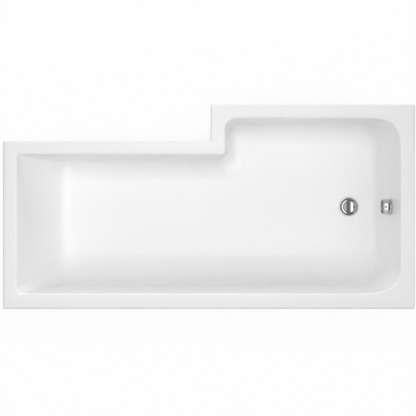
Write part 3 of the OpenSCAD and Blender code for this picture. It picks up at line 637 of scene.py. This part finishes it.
# Each lamp's name, place, target, width, height, watts and the surfaces that it lights
TUB = (0, 0, 0.4)
LAMPS = [
    ("top", (0.3, 0.55, 4.35), TUB, 1.4, 1.4, 56.0, "matt"),
    ("middle", (-0.3, 0, 2.4), (-0.3, 0, 0), 1.4, 0.8, 9.0, "matt"),
    ("head_front", (-1.6, -1.1, 2.4), (-1.6, -1.1, 0), 0.8, 0.8, 7.8, "matt"),
    ("foot_near", (1.6, -1.1, 2.4), (1.6, -1.1, 0), 0.8, 0.8, 4.9, "matt"),
    ("head", (-3.53, 0, 2.28), TUB, 1.4, 1.4, 6.0, "matt"),
    ("head_back", (-2.5, 2.5, 2.28), TUB, 1.4, 1.4, 7.8, "matt"),
    ("foot_front", (2.35, -1.0, 3.37), TUB, 1.6, 1.6, 15.7, "matt"),
    ("back", (0, 3.94, 1.09), TUB, 1.4, 1.4, 54.0, "matt"),
    ("low_front", (0, -2.0, 0.15), (0, -0.5, 0.4), 2.6, 0.25, 5.5, "matt"),
    ("low_head", (-2.5, 0, 0.15), (-1.0, 0, 0.4), 1.4, 0.25, 3.0, "matt"),
    ("low_foot", (2.5, 0, 0.15), (1.0, 0, 0.4), 1.4, 0.25, 3.0, "matt"),
    ("front_card", (0, -3.53, 2.28), TUB, 2.4, 1.4, 12.0, "shiny"),
    ("back_card", (0, 3.94, 1.09), TUB, 3.0, 1.0, 10.0, "shiny"),
]


def make_camera():
    camera = bpy.data.cameras.new("camera")
    camera.sensor_width = CAMERA_SENSOR
    camera.lens = CAMERA_LENS
    camera.clip_end = CAMERA_REACH
    spot = linked("camera", camera)
    spot.location = CAMERA_PLACE
    SCENE.camera = spot


def panel(name, place, target, width, height, watts, surfaces):
    """A soft lamp, unseen by the camera, for matt or for shiny surfaces alone."""
    light = bpy.data.lights.new(name, "AREA")
    light.shape = "RECTANGLE"
    light.size = width
    light.size_y = height
    light.energy = watts
    lamp = linked(name, light)
    lamp.location = place
    lamp.rotation_euler = (Vector(target) - lamp.location).to_track_quat("-Z", "Y").to_euler()
    lamp.visible_camera = False
    lamp.visible_glossy = surfaces == "shiny"
    lamp.visible_diffuse = surfaces == "matt"


def smooth_greys(tree, value, stops):
    """A smooth curve of grey levels over a value from 0 to 1."""
    ramp = tree.nodes.new("ShaderNodeValToRGB")
    ramp.color_ramp.interpolation = "EASE"
    while len(ramp.color_ramp.elements) < len(stops):
        ramp.color_ramp.elements.new(0.5)
    for element, (at, level) in zip(ramp.color_ramp.elements, stops):
        element.position = at
        element.color = grey(level)
    tree.links.new(value, ramp.inputs["Fac"])
    return ramp.outputs["Color"]


def make_world():
    """White for the camera, dim for matt surfaces, and a studio's greys for shiny ones."""
    world = bpy.data.worlds.new("studio")
    SCENE.world = world
    world.use_nodes = True
    tree = world.node_tree
    nodes, links = tree.nodes, tree.links
    direction = nodes.new("ShaderNodeSeparateXYZ")
    links.new(nodes.new("ShaderNodeTexCoord").outputs["Generated"], direction.inputs[0])
    across = nodes.new("ShaderNodeMapRange")
    across.inputs["From Min"].default_value = -1.0
    links.new(direction.outputs["X"], across.inputs["Value"])
    path = nodes.new("ShaderNodeLightPath")
    shine = nodes.new("ShaderNodeBackground")
    links.new(smooth_greys(tree, across.outputs["Result"], SKY_ACROSS), shine.inputs["Color"])
    matt = nodes["Background"]
    matt.inputs["Color"].default_value = grey(1)
    level = nodes.new("ShaderNodeMapRange")
    level.inputs["To Min"].default_value = WORLD
    links.new(path.outputs["Is Camera Ray"], level.inputs["Value"])
    links.new(level.outputs["Result"], matt.inputs["Strength"])
    both = nodes.new("ShaderNodeMixShader")
    links.new(path.outputs["Is Glossy Ray"], both.inputs["Fac"])
    links.new(matt.outputs["Background"], both.inputs[1])
    links.new(shine.outputs["Background"], both.inputs[2])
    links.new(both.outputs["Shader"], nodes["World Output"].inputs["Surface"])


def make_floor():
    """A pale floor that shows white and keeps a faint shadow of the bath."""
    r = FLOOR_REACH
    corners = [(-r, -r, 0), (r, -r, 0), (r, r, 0), (-r, r, 0)]
    floor = new_object("floor", corners, [(0, 1, 2, 3)])
    m = Nodes("studio_floor")
    path = m.add("ShaderNodeLightPath").outputs
    base = m.blend(path["Is Camera Ray"], grey(FLOOR_GREY), grey(0.9))
    m.set(Base_Color=base, Roughness=0.9, Specular_IOR_Level=0.0)
    open_air = m.add("ShaderNodeAmbientOcclusion", {"Distance": SHADOW_REACH}, samples=8)
    strength = m.ramp(open_air.outputs["AO"], SHADOW, 1.0, 0.2, 0.85)
    glow = m.add("ShaderNodeEmission", {"Color": grey(1), "Strength": strength})
    seen = m.calculate("MAXIMUM", path["Is Camera Ray"], path["Is Glossy Ray"])
    seen = m.calculate("MAXIMUM", seen, path["Is Transmission Ray"])
    both = m.add(
        "ShaderNodeMixShader",
        {
            0: m.calculate("MULTIPLY", seen, FLOOR_GLOW),
            1: m.shader.outputs["BSDF"],
            2: glow.outputs["Emission"],
        },
    )
    m.feed(m.tree.nodes["Material Output"].inputs["Surface"], both.outputs["Shader"])
    floor.data.materials.append(m.material)


make_camera()
make_floor()
make_world()
for lamp in LAMPS:
    panel(*lamp)


# ---------------------------------------------------------------- turned and threaded pieces
# Points closer than this are one point: in the meshes made here, and in the CAD's own
OWN_WELD = 1e-7
CAD_WELD = 1e-6


def clean_mesh(piece, sharp):
    """Welds the points on an axis and turns every face outwards."""
    work = bmesh.new()
    work.from_mesh(piece.data)
    bmesh.ops.remove_doubles(work, verts=work.verts, dist=OWN_WELD)
    bmesh.ops.dissolve_degenerate(work, edges=work.edges, dist=OWN_WELD)
    bmesh.ops.recalc_face_normals(work, faces=work.faces)
    work.to_mesh(piece.data)
    work.free()
    piece.data.shade_smooth()
    piece.data.set_sharp_from_angle(angle=math.radians(sharp))


def combine(piece, other, operation, sharp):
    boolean(piece, other, operation)
    clean_mesh(piece, sharp)


def turn_about(axis, degrees):
    return Matrix.Rotation(math.radians(degrees), 4, axis)


def revolve(name, profile, matrix=Matrix(), count=96, closed=True, sharp=35.0):
    """Turns a profile of (radius, height) in millimetres round the local Z axis."""
    rings = []
    for radius, height in profile:
        ring = []
        for j in range(count):
            a = 2 * math.pi * j / count
            spot = Vector((mm(radius) * math.cos(a), mm(radius) * math.sin(a), mm(height)))
            ring.append(matrix @ spot)
        rings.append(ring)
    piece = ring_mesh(name, rings, closed_loop=closed)
    clean_mesh(piece, sharp)
    return piece


def held(profile, reach=0.3):
    """Adds points near both ends of the long lines of a profile, which keeps them straight."""
    points = []
    for a, b in zip(profile, profile[1:]):
        points.append(a)
        length = math.dist(a, b)
        if length > 4 * reach:
            t = reach / length
            points += [(mix(a[0], b[0], k), mix(a[1], b[1], k)) for k in (t, 1 - t)]
    return points + [profile[-1]]


def box_mesh(name, low, high, matrix=Matrix(), bevel=0.4):
    """A block with softened edges, in millimetres."""
    work = bmesh.new()
    bmesh.ops.create_cube(work, size=1.0)
    for v in work.verts:
        v.co = Vector([mm(mix(low[i], high[i], v.co[i] + 0.5)) for i in range(3)])
    bmesh.ops.bevel(
        work, geom=work.edges[:], offset=mm(bevel), segments=2, affect="EDGES", profile=0.5
    )
    bmesh.ops.transform(work, matrix=matrix, verts=work.verts)
    mesh = bpy.data.meshes.new(name)
    work.to_mesh(mesh)
    work.free()
    piece = linked(name, mesh)
    clean_mesh(piece, 40)
    return piece


def copies(piece, name, matrices):
    """One piece made of a copy of a mesh at each place."""
    work = bmesh.new()
    for matrix in matrices:
        old = len(work.verts)
        work.from_mesh(piece.data)
        work.verts.ensure_lookup_table()
        bmesh.ops.transform(work, matrix=matrix, verts=work.verts[old:])
    mesh = bpy.data.meshes.new(name)
    work.to_mesh(mesh)
    work.free()
    mesh.shade_smooth()
    mesh.set_sharp_from_angle(angle=math.radians(35))
    bpy.data.objects.remove(piece, do_unlink=True)
    return linked(name, mesh)


def thread(name, radius, depth, pitch, low, high, x, y):
    """A threaded rod with bevelled ends, standing at a place in plan."""
    count, steps_per_turn = 18, 6
    rings = [[(x, y, mm(low))] * count]
    total = int((high - low) / pitch * steps_per_turn)
    for i in range(total + 1):
        z = low + (high - low) * i / total
        end = min(z - low, high - z)
        ring = []
        for j in range(count):
            turn = (z / pitch - j / count) % 1.0
            r = radius - depth * abs(2 * turn - 1)
            r = min(r, radius - 1 + end) if end < 1 else r
            a = 2 * math.pi * j / count
            ring.append((x + mm(r) * math.cos(a), y + mm(r) * math.sin(a), mm(z)))
        rings.append(ring)
    rings.append([(x, y, mm(high))] * count)
    piece = ring_mesh(name, rings)
    clean_mesh(piece, 50)
    return piece


def hex_nut(name, across, bore, height):
    """A six-sided nut with chamfered corners and a countersunk bore, standing at z = 0."""
    count = 72
    flat = across / 2
    face = flat * 0.96

    def ring(radius, z):
        """A round ring, or with no radius the six-sided one, lowered towards its corners."""
        points = []
        for j in range(count):
            a = 2 * math.pi * j / count
            r, drop = radius, 0
            if radius is None:
                r = flat / math.cos((a % (math.pi / 3)) - math.pi / 6)
                drop = (r - face) * 0.58
            level = z + drop if z == 0 else z - drop
            points.append((mm(r) * math.cos(a), mm(r) * math.sin(a), mm(level)))
        return points

    rings = [ring(bore, 0.6), ring(bore + 0.7, 0), ring(face, 0), ring(None, 0)]
    rings += [ring(None, height), ring(face, height)]
    rings += [ring(bore + 0.7, height), ring(bore, height - 0.6)]
    piece = ring_mesh(name, rings, closed_loop=True)
    clean_mesh(piece, 28)
    return piece


def pan_screw(name, radius, height, slot):
    """A screw with its pan head up, a cross recess in it, and the head's foot at z = 0."""
    side = height * 0.35
    profile = [(0, -12), (1.2, -11), (2.3, -8), (2.3, 0), (radius, 0), (radius, side)]
    profile += [
        (radius * math.cos(a), height * (0.35 + 0.65 * math.sin(a))) for a in angles(15, 90, 6)
    ]
    head = revolve(name, profile, count=32, closed=False)
    low = (-slot / 2, -slot / 7, height - slot * 0.3)
    high = (slot / 2, slot / 7, height + 1)
    for turn in (0, 90):
        cutter = box_mesh("cut", low, high, turn_about("Z", turn), bevel=0.1)
        combine(head, cutter, "DIFFERENCE", 35)
    return head


def dress(piece, body, slot, material, *nodes):
    """Gives a new piece its body, its finish and the nodes that it stands for."""
    piece.data.materials.clear()
    piece.data.materials.append(material)
    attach(piece, body)
    if nodes:
        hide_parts(*nodes)


# ---------------------------------------------------------------- the tub and its backing
BOARD_TOP_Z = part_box("baseboard")[1][2]
LAYING_GAP = mm(0.05)
# Depth, size and seed of the glass fibre's lumps and of its top edge's waves, and the height
# over which each of them fades
LUMP, LUMP_SIZE, LUMP_SEED, LUMP_FADE = mm(0.7), mm(22), 3, mm(60)
WAVE, WAVE_SIZE, WAVE_SEED, WAVE_FADE = mm(5), mm(60), 7, mm(30)
# The middles of the narrow part and of the wide part, towards which the lumps reach
NARROW_MIDDLE = (WASTE_X - mm(500), 0)
WIDE_MIDDLE = (WASTE_X - mm(150), mm(60))
# How far out the rings lie on the board, from the recess (0) to the floor's edge (1)
BOARD_RINGS = (0.985, 0.9, 0.75, 0.6, 0.45, 0.3, 0.15, 0)


def rough(point, size, seed):
    """Smooth random value from -1 to 1 that repeats on each run."""
    return noise.noise(Vector(point) / size + Vector((seed, seed, seed)))


def top_wave(x, y, z):
    """How the uneven top edge of the glass fibre moves a point down."""
    near_top = share((z - BACKING_TOP_Z + WAVE_FADE) / WAVE_FADE)
    return WAVE * (rough((x, y, 0), WAVE_SIZE, WAVE_SEED) - 1) * near_top


def lumpy(ring):
    """A ring of the glass fibre's outside, with its lumps and its uneven top edge."""
    fade = share((ring[0][2] - BOARD_TOP_Z) / LUMP_FADE)
    moved = []
    for x, y, z in ring:
        lump = fade * LUMP * (rough((x, y, z), LUMP_SIZE, LUMP_SEED) - 1)
        middle = Vector((*(NARROW_MIDDLE if x < STEP_X else WIDE_MIDDLE), z))
        inward = (middle - Vector((x, y, z))).normalized() * -lump
        moved.append((x + inward.x, y + inward.y, z + top_wave(x, y, z)))
    return moved


def build_backing():
    """Glass fibre laid on the back of the shell, uneven outside and at its top edge."""
    inside = SHELL_WALL + LAYING_GAP
    heights = [mix(FLOOR_Z + max(FLOOR_CURVES), BACKING_TOP_Z, i / 14) for i in range(15)]
    upward = list(reversed(curve_heights(inside, 30))) + heights
    downward = list(reversed(heights)) + curve_heights(SKIN, 30)
    upper = list(reversed(recess_rings(inside, 4))) + list(reversed(floor_rings(inside, 12)))
    upper += [wall_ring(z, inside) for z in upward]
    upper = [[(x, y, z + top_wave(x, y, z)) for x, y, z in ring] for ring in upper]
    lower = [lumpy(wall_ring(z, SKIN)) for z in downward]
    edge = wall_outline(FLOOR_Z - SKIN, SKIN)
    circle = circle_towards(edge, RECESS_EDGE, 0)
    for t in BOARD_RINGS:
        lower.append([(x, y, BOARD_TOP_Z) for x, y in between(circle, edge, t)])
    lower.append(circle_towards(edge, RECESS_RADIUS, BOARD_TOP_Z - RECESS_DEPTH))
    lower.append(circle_towards(edge, WASTE_HOLE, BOARD_TOP_Z - RECESS_DEPTH))
    piece = ring_mesh("fibre_backing", upper + lower, closed_loop=True)
    clean_mesh(piece, 60)
    return piece


tub = build_shell()
cut_hole(tub, OVERFLOW_HOLE, mm(40), OVERFLOW_FRAME)
dress(tub, "root", "acrylic", ACRYLIC, "bath_shell")
backing = build_backing()
cut_hole(backing, OVERFLOW_HOLE + mm(0.2), mm(60), OVERFLOW_FRAME)
dress(backing, "root", "glass_fibre", GLASS_FIBRE, "glass_fibre_backing")

# ---------------------------------------------------------------- waste in the tub floor
# From here on the sizes of profiles are in millimetres
FLANGE_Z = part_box("flange_seal")[1][2] / mm(1)
BARREL_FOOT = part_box("waste_flange")[0][2] / mm(1)
FLANGE = FLANGE_RADIUS / mm(1)
PLUG = (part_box("plug_cap")[1][0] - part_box("plug_cap")[0][0]) / mm(2)
PLUG_DOME = 90
STEM = (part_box("plug_stem")[1][0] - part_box("plug_stem")[0][0]) / mm(2)
BARREL = WASTE_HOLE / mm(1) - 1.5
BORE = BARREL - 3
AT_WASTE = Matrix.Translation((WASTE_X, 0, 0))


def build_flange():
    """Rolled ring with a sloping inside edge, its barrel, and three arms with a guide."""
    seat = PLUG + 1
    # Each point's distance from the ring's edge or the plug's seat, and its height
    outer = [(0, 0.25), (0, 2.3), (-0.1, 2.6), (-0.35, 2.85), (-0.7, 3.0)]
    outer += [(-4.6, 3.23), (-5.1, 3.24), (-5.5, 3.18)]
    inner = [(1.4, 2.4), (0.9, 2.26), (0.6, 2.14), (0.2, 1.9), (0, 1.6), (-0.3, 1.4)]
    profile = [(BORE, BARREL_FOOT), (BARREL, BARREL_FOOT), (BARREL, FLANGE_Z)]
    profile += [(FLANGE - 0.3, FLANGE_Z)]
    profile += [(FLANGE + r, FLANGE_Z + h) for r, h in outer]
    profile += [(seat + r, FLANGE_Z + h) for r, h in inner]
    profile += [(BORE, FLANGE_Z + 0.6)]
    ring = revolve("waste_ring", held(profile), AT_WASTE, 128, sharp=24)
    low = BARREL_FOOT + 4
    high = low + 6
    arm_low, arm_high = (STEM + 1, -1.5, low), (BORE + 0.4, 1.5, high)
    guide = [(STEM + 0.05, low), (STEM + 3, low), (STEM + 3, high), (STEM + 0.05, high)]
    parts = [revolve("guide", guide, AT_WASTE, 48)]
    for turn in (60, 180, 300):
        place = AT_WASTE @ turn_about("Z", turn)
        parts.append(box_mesh("arm", arm_low, arm_high, place, bevel=0.3))
    for part in parts:
        combine(ring, part, "UNION", 24)
    return ring


def build_plug():
    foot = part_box("plug_cap")[0][2] / mm(1)
    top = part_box("plug_cap")[1][2] / mm(1)
    roll = 0.8
    edge = PLUG - roll
    shoulder = top - PLUG_DOME + math.sqrt(PLUG_DOME**2 - edge**2) - roll
    reach = math.degrees(math.asin(edge / PLUG_DOME))
    profile = [(0, foot), (PLUG - 0.6, foot), (PLUG, foot + 0.5), (PLUG, shoulder - 0.1)]
    profile += [
        (edge + roll * math.cos(a), shoulder + roll * math.sin(a)) for a in angles(10, 65, 5)
    ]
    profile += [
        (PLUG_DOME * math.sin(a), top - PLUG_DOME * (1 - math.cos(a)))
        for a in angles(reach, 0, 26)
    ]
    return revolve("plug_dome", profile, AT_WASTE, 128, closed=False, sharp=40)


def build_flange_seal_and_shade_lip():
    """Rubber under the flange, with the thin lip that shows round its edge: the lip is painted
    shade, a black ring where the flange's edge is in shade.
    """
    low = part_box("flange_seal")[0][2] / mm(1)
    bore = BARREL + 2
    # The lip out past the flange's edge is painted shade, a dark ring round the chrome
    profile = [(bore, low), (FLANGE + 1.2, low), (FLANGE + 1.6, low + 0.4)]
    profile += [(FLANGE + 1.4, FLANGE_Z + 0.2), (FLANGE + 0.9, FLANGE_Z + 0.6)]
    profile += [(FLANGE + 0.2, FLANGE_Z + 0.6), (FLANGE + 0.05, FLANGE_Z), (bore, FLANGE_Z)]
    return revolve("flange_seal_with_painted_shade_lip", profile, AT_WASTE, 96)


def build_outlet_thread():
    """Helical ridge round the outlet under the waste, which runs out at both ends."""
    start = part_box("waste_body")[0][2] / mm(1) + 2.5
    radius, pitch, turns, per_turn, run_out = 23.9, 2.31, 10, 48, 24
    foot, half = radius - 0.4, 0.9 * pitch / 2
    total = turns * per_turn
    rings = []
    for i in range(total + 1):
        a = 2 * math.pi * i / per_turn
        z = start + pitch * i / per_turn
        grow = min(1.0, i / run_out, (total - i) / run_out)
        section = [(foot, -half), (radius + 0.45 * grow, 0), (foot, half)]
        across, along = math.cos(a), math.sin(a)
        rings.append([(WASTE_X + mm(r) * across, mm(r) * along, mm(z + h)) for r, h in section])
    piece = ring_mesh("outlet_thread", rings)
    work = bmesh.new()
    work.from_mesh(piece.data)
    work.verts.ensure_lookup_table()
    last = len(work.verts)
    for end in ((0, 1, 2), (last - 1, last - 2, last - 3)):
        work.faces.new([work.verts[i] for i in end])
    work.to_mesh(piece.data)
    work.free()
    clean_mesh(piece, 30)
    return piece


dress(build_flange_seal_and_shade_lip(), "root", "seal_rubber", RUBBER, "flange_seal")
dress(build_flange(), "root", "chrome", CHROME, "waste_flange")
dress(build_plug(), "plug", "chrome", CHROME, "plug_cap")

# ---------------------------------------------------------------- overflow
# Heights are depths behind the wall's face, so what stands in front of it is below zero
PLATE_FRONT = -7.0
PLATE_BACK = -1.5
PLATE = 34.0
PLATE_TAPER = 7.0
SLOT_PLACE, SLOT_RADIUS = 13, 3.5
SCREW_PLACE, SCREW_HOLE, SCREW_HEAD = 22.5, 1.9, 3.3
KNOB = 33.0
KNOB_BACK = PLATE_FRONT - 2.5
KNOB_FRONT = KNOB_BACK - 24.5
KNOB_TAPER = 5.0
SPINDLE = 4.0
GRUB = 4.0
# Its own +Z points down through the knob from its top, at the screw's place
GRUB_FRAME = (
    OVERFLOW_FRAME @ Matrix.Translation((0, 0, mm(KNOB_FRONT + 8.5))) @ turn_about("Y", 90)
)


def narrowed(radius, length, taper):
    """A tapered band's radius at its narrow end."""
    return radius - length * math.tan(math.radians(taper))


def build_plate():
    """Back plate with a raised and tapered rim, water slots and its bearing."""
    edge = 1.5
    rim = PLATE_FRONT - 1.5
    slim = narrowed(PLATE, PLATE_BACK - rim - edge, PLATE_TAPER)
    profile = [(SPINDLE + 0.05, PLATE_BACK), (SPINDLE + 0.05, PLATE_FRONT + 0.3)]
    profile += [(SPINDLE + 0.4, PLATE_FRONT), (PLATE - 8, PLATE_FRONT), (PLATE - 6, rim)]
    profile += [
        (slim - edge + edge * math.sin(a), rim + edge - edge * math.cos(a))
        for a in angles(0, 90, 10)
    ]
    profile += [(PLATE, PLATE_BACK - 0.3), (PLATE - 0.3, PLATE_BACK)]
    plate = revolve("overflow_back_plate", held(profile), OVERFLOW_FRAME, 128)
    for i in range(6):
        place = turn_about("Z", 60 * i) @ Matrix.Translation((mm(SLOT_PLACE), 0, mm(-4)))
        cut_hole(plate, mm(SLOT_RADIUS), mm(12), OVERFLOW_FRAME @ place)
    for side in (-1, 1):
        across = side * mm(SCREW_PLACE)
        place = Matrix.Translation((0, across, mm(-4)))
        cut_hole(plate, mm(SCREW_HOLE), mm(12), OVERFLOW_FRAME @ place)
        place = Matrix.Translation((0, across, mm(PLATE_FRONT)))
        cut_hole(plate, mm(SCREW_HEAD), mm(4), OVERFLOW_FRAME @ place)
    return plate


def build_knob():
    """Turned knob, tapered and slightly dished in front, with its screw hole on top."""
    edge = 2.0
    front = KNOB_FRONT + 0.5
    back = KNOB_BACK - 6.0
    hub = SPINDLE + 9.5
    dish = 1.4
    slim = narrowed(KNOB, back - front, KNOB_TAPER)
    profile = [(0, front + 4), (SPINDLE, front + 4), (SPINDLE, KNOB_BACK)]
    profile += [(hub - 0.5, KNOB_BACK), (hub, KNOB_BACK - 0.5), (hub, back)]
    profile += [(KNOB - 0.6, back), (KNOB - 0.2, back - 0.2), (KNOB, back - 0.6)]
    profile += [
        (slim - edge + edge * math.cos(a), front + edge - edge * math.sin(a))
        for a in angles(0, 90, 12)
    ]
    profile += [
        ((slim - 7) * i / 10, front + dish * (1 - (i / 10) ** 2)) for i in range(10, -1, -1)
    ]
    knob = revolve(
        "overflow_turn_knob", held(profile), OVERFLOW_FRAME, 160, closed=False, sharp=40
    )
    hole = GRUB_FRAME @ Matrix.Translation((0, 0, mm(-KNOB / 2 - 6)))
    cut_hole(knob, mm(GRUB), mm(KNOB - 5), hole)
    return knob


def build_grub():
    """Black socket screw sunk in the top of the knob."""
    low, high = SPINDLE, KNOB - 3.2
    socket = 0.6 * GRUB
    profile = [(0, low), (GRUB - 0.5, low), (GRUB - 0.05, low + 0.8), (GRUB - 0.05, high - 0.5)]
    profile += [(GRUB - 0.5, high), (socket, high), (socket * 0.9, high - 3), (0, high - 3)]
    place = GRUB_FRAME @ turn_about("X", 180)
    return revolve("grub_screw_black", profile, place, 24, closed=False)


dress(build_plate(), "root", "chrome", BRIGHT_CHROME, "overflow_plate")
dress(build_knob(), "knob", "chrome", BRIGHT_CHROME, "overflow_knob")
dress(build_grub(), "knob", "zinc_plate", BLACK_STEEL, "knob_grub_screw")

# ---------------------------------------------------------------- feet and fasteners
ROD_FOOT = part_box("foot_rod_1")[0][2] / mm(1)
ROD_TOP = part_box("foot_rod_1")[1][2] / mm(1)
ROD = (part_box("foot_rod_1")[1][0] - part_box("foot_rod_1")[0][0]) / mm(2)
THREAD_DEPTH, THREAD_PITCH = 0.9, 1.5
PAD = (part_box("foot_pad_1")[1][0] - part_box("foot_pad_1")[0][0]) / mm(2)
PAD_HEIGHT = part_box("foot_pad_1")[1][2] / mm(1)
NUT_ACROSS = ROD * 1.7 * 2
NUT_HEIGHT = 8
SCREW_HEAD_FOOT = mm(3)


def build_pad(name, x, y):
    """Round foot with a rolled edge, a hollowed skirt and a hub for the rod."""
    hub = ROD + 4
    profile = [(0, 0), (PAD - 1.2, 0), (PAD - 0.3, 0.3), (PAD, 1.2), (PAD, 3.4)]
    profile += [(PAD - 0.4, 4.2)]
    profile += [
        (hub + 1 + (PAD - hub - 2) * math.cos(a), 4.4 + 7 * math.sin(a))
        for a in angles(8, 84, 14)
    ]
    profile += [(hub + 0.3, 12), (hub, 13), (hub, PAD_HEIGHT - 1)]
    profile += [(hub - 0.3, PAD_HEIGHT - 0.3), (hub - 1, PAD_HEIGHT)]
    profile += [(ROD + 0.4, PAD_HEIGHT), (ROD, PAD_HEIGHT - 0.5), (ROD, ROD_FOOT), (0, ROD_FOOT)]
    return revolve(name, profile, Matrix.Translation((x, y, 0)), 72, closed=False, sharp=32)


def islands(node):
    """Low and high corners of each separate solid in a CAD node."""
    work = bmesh.new()
    work.from_mesh(NODES[node].data)
    bmesh.ops.remove_doubles(work, verts=work.verts, dist=CAD_WELD)
    left = set(work.verts)
    found = []
    while left:
        group, front = set(), [left.pop()]
        while front:
            v = front.pop()
            group.add(v)
            for edge in v.link_edges:
                other = edge.other_vert(v)
                if other in left:
                    left.remove(other)
                    front.append(other)
        points = [v.co for v in group]
        low = Vector([min(p[i] for p in points) for i in range(3)])
        high = Vector([max(p[i] for p in points) for i in range(3)])
        found.append((low, high))
    work.free()
    return sorted(found, key=lambda box: tuple(round(c, 5) for c in box[0]))


def centre(box):
    """The middle of a box in plan."""
    low, high = box
    return (low[0] + high[0]) / 2, (low[1] + high[1]) / 2


for n in range(1, 7):
    x, y = centre(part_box(f"foot_rod_{n}"))
    rod = thread(
        f"foot_thread_{n}", ROD, THREAD_DEPTH, THREAD_PITCH, ROD_FOOT + 0.05, ROD_TOP, x, y
    )
    dress(rod, f"foot_{n}", "zinc_plate", ZINC, f"foot_rod_{n}")
    pad = build_pad(f"foot_base_{n}", x, y)
    dress(pad, f"foot_{n}", "foot_plastic", BLACK, f"foot_pad_{n}")

nut_places = [Matrix.Translation((*centre(box), box[0][2])) for box in islands("foot_nuts")]
nut = hex_nut("nut", NUT_ACROSS, ROD + 0.05, NUT_HEIGHT)
dress(copies(nut, "foot_hex_nuts", nut_places), "root", "zinc_plate", ZINC, "foot_nuts")

for node in ("leg_screws", "bracket_screws"):
    places = [
        Matrix.Translation((*centre(box), box[0][2] + SCREW_HEAD_FOOT)) @ turn_about("X", 180)
        for box in islands(node)
    ]
    screw = pan_screw("screw", radius=4.8, height=3.0, slot=4.0)
    screws = copies(screw, node.replace("screws", "pan_heads"), places)
    dress(screws, "root", "zinc_plate", ZINC, node)
dress(build_outlet_thread(), "root", "waste_plastic", WHITE)

# ---------------------------------------------------------------- finishes of the CAD's pieces
# Each finish's nodes, and the width in millimetres to which their edges are softened
FINISHES = [
    (CHIPBOARD, 0.8, ["baseboard"]),
    (TIMBER_X, 1.2, ["rim_batten_wall", "rim_batten_shower", "rim_batten_narrow"]),
    (TIMBER_Y, 1.2, ["rim_batten_foot", "rim_batten_step", "rim_batten_head"]),
    (GALVANISED, 0.3, ["leg_bar_head", "leg_bar_middle", "leg_bar_foot"]),
    (ZINC, 0.2, ["wall_bracket_head", "wall_bracket_foot"]),
    (ZINC, 0.2, ["plug_stem", "plate_screws", "knob_spindle"]),
    (RUBBER, 0, ["waste_seal", "plug_seal", "overflow_seal_front", "overflow_seal_back"]),
    (BLACK, 0, ["lift_lever", "pull_crank"]),
    (WHITE, 0, ["waste_body", "overflow_elbow", "pipe_nut_top", "pipe_nut_bottom"]),
    (PIPE, 0, ["overflow_pipe"]),
]
for material, width, nodes in FINISHES:
    for node in nodes:
        for slot in NODES[node].material_slots:
            slot.material = material
        if width:
            NODES[node].modifiers.new("weld", "WELD").merge_threshold = CAD_WELD
            edge = NODES[node].modifiers.new("edge", "BEVEL")
            edge.width = mm(width)
            edge.segments = 2
            edge.limit_method = "ANGLE"
            edge.angle_limit = math.radians(50)
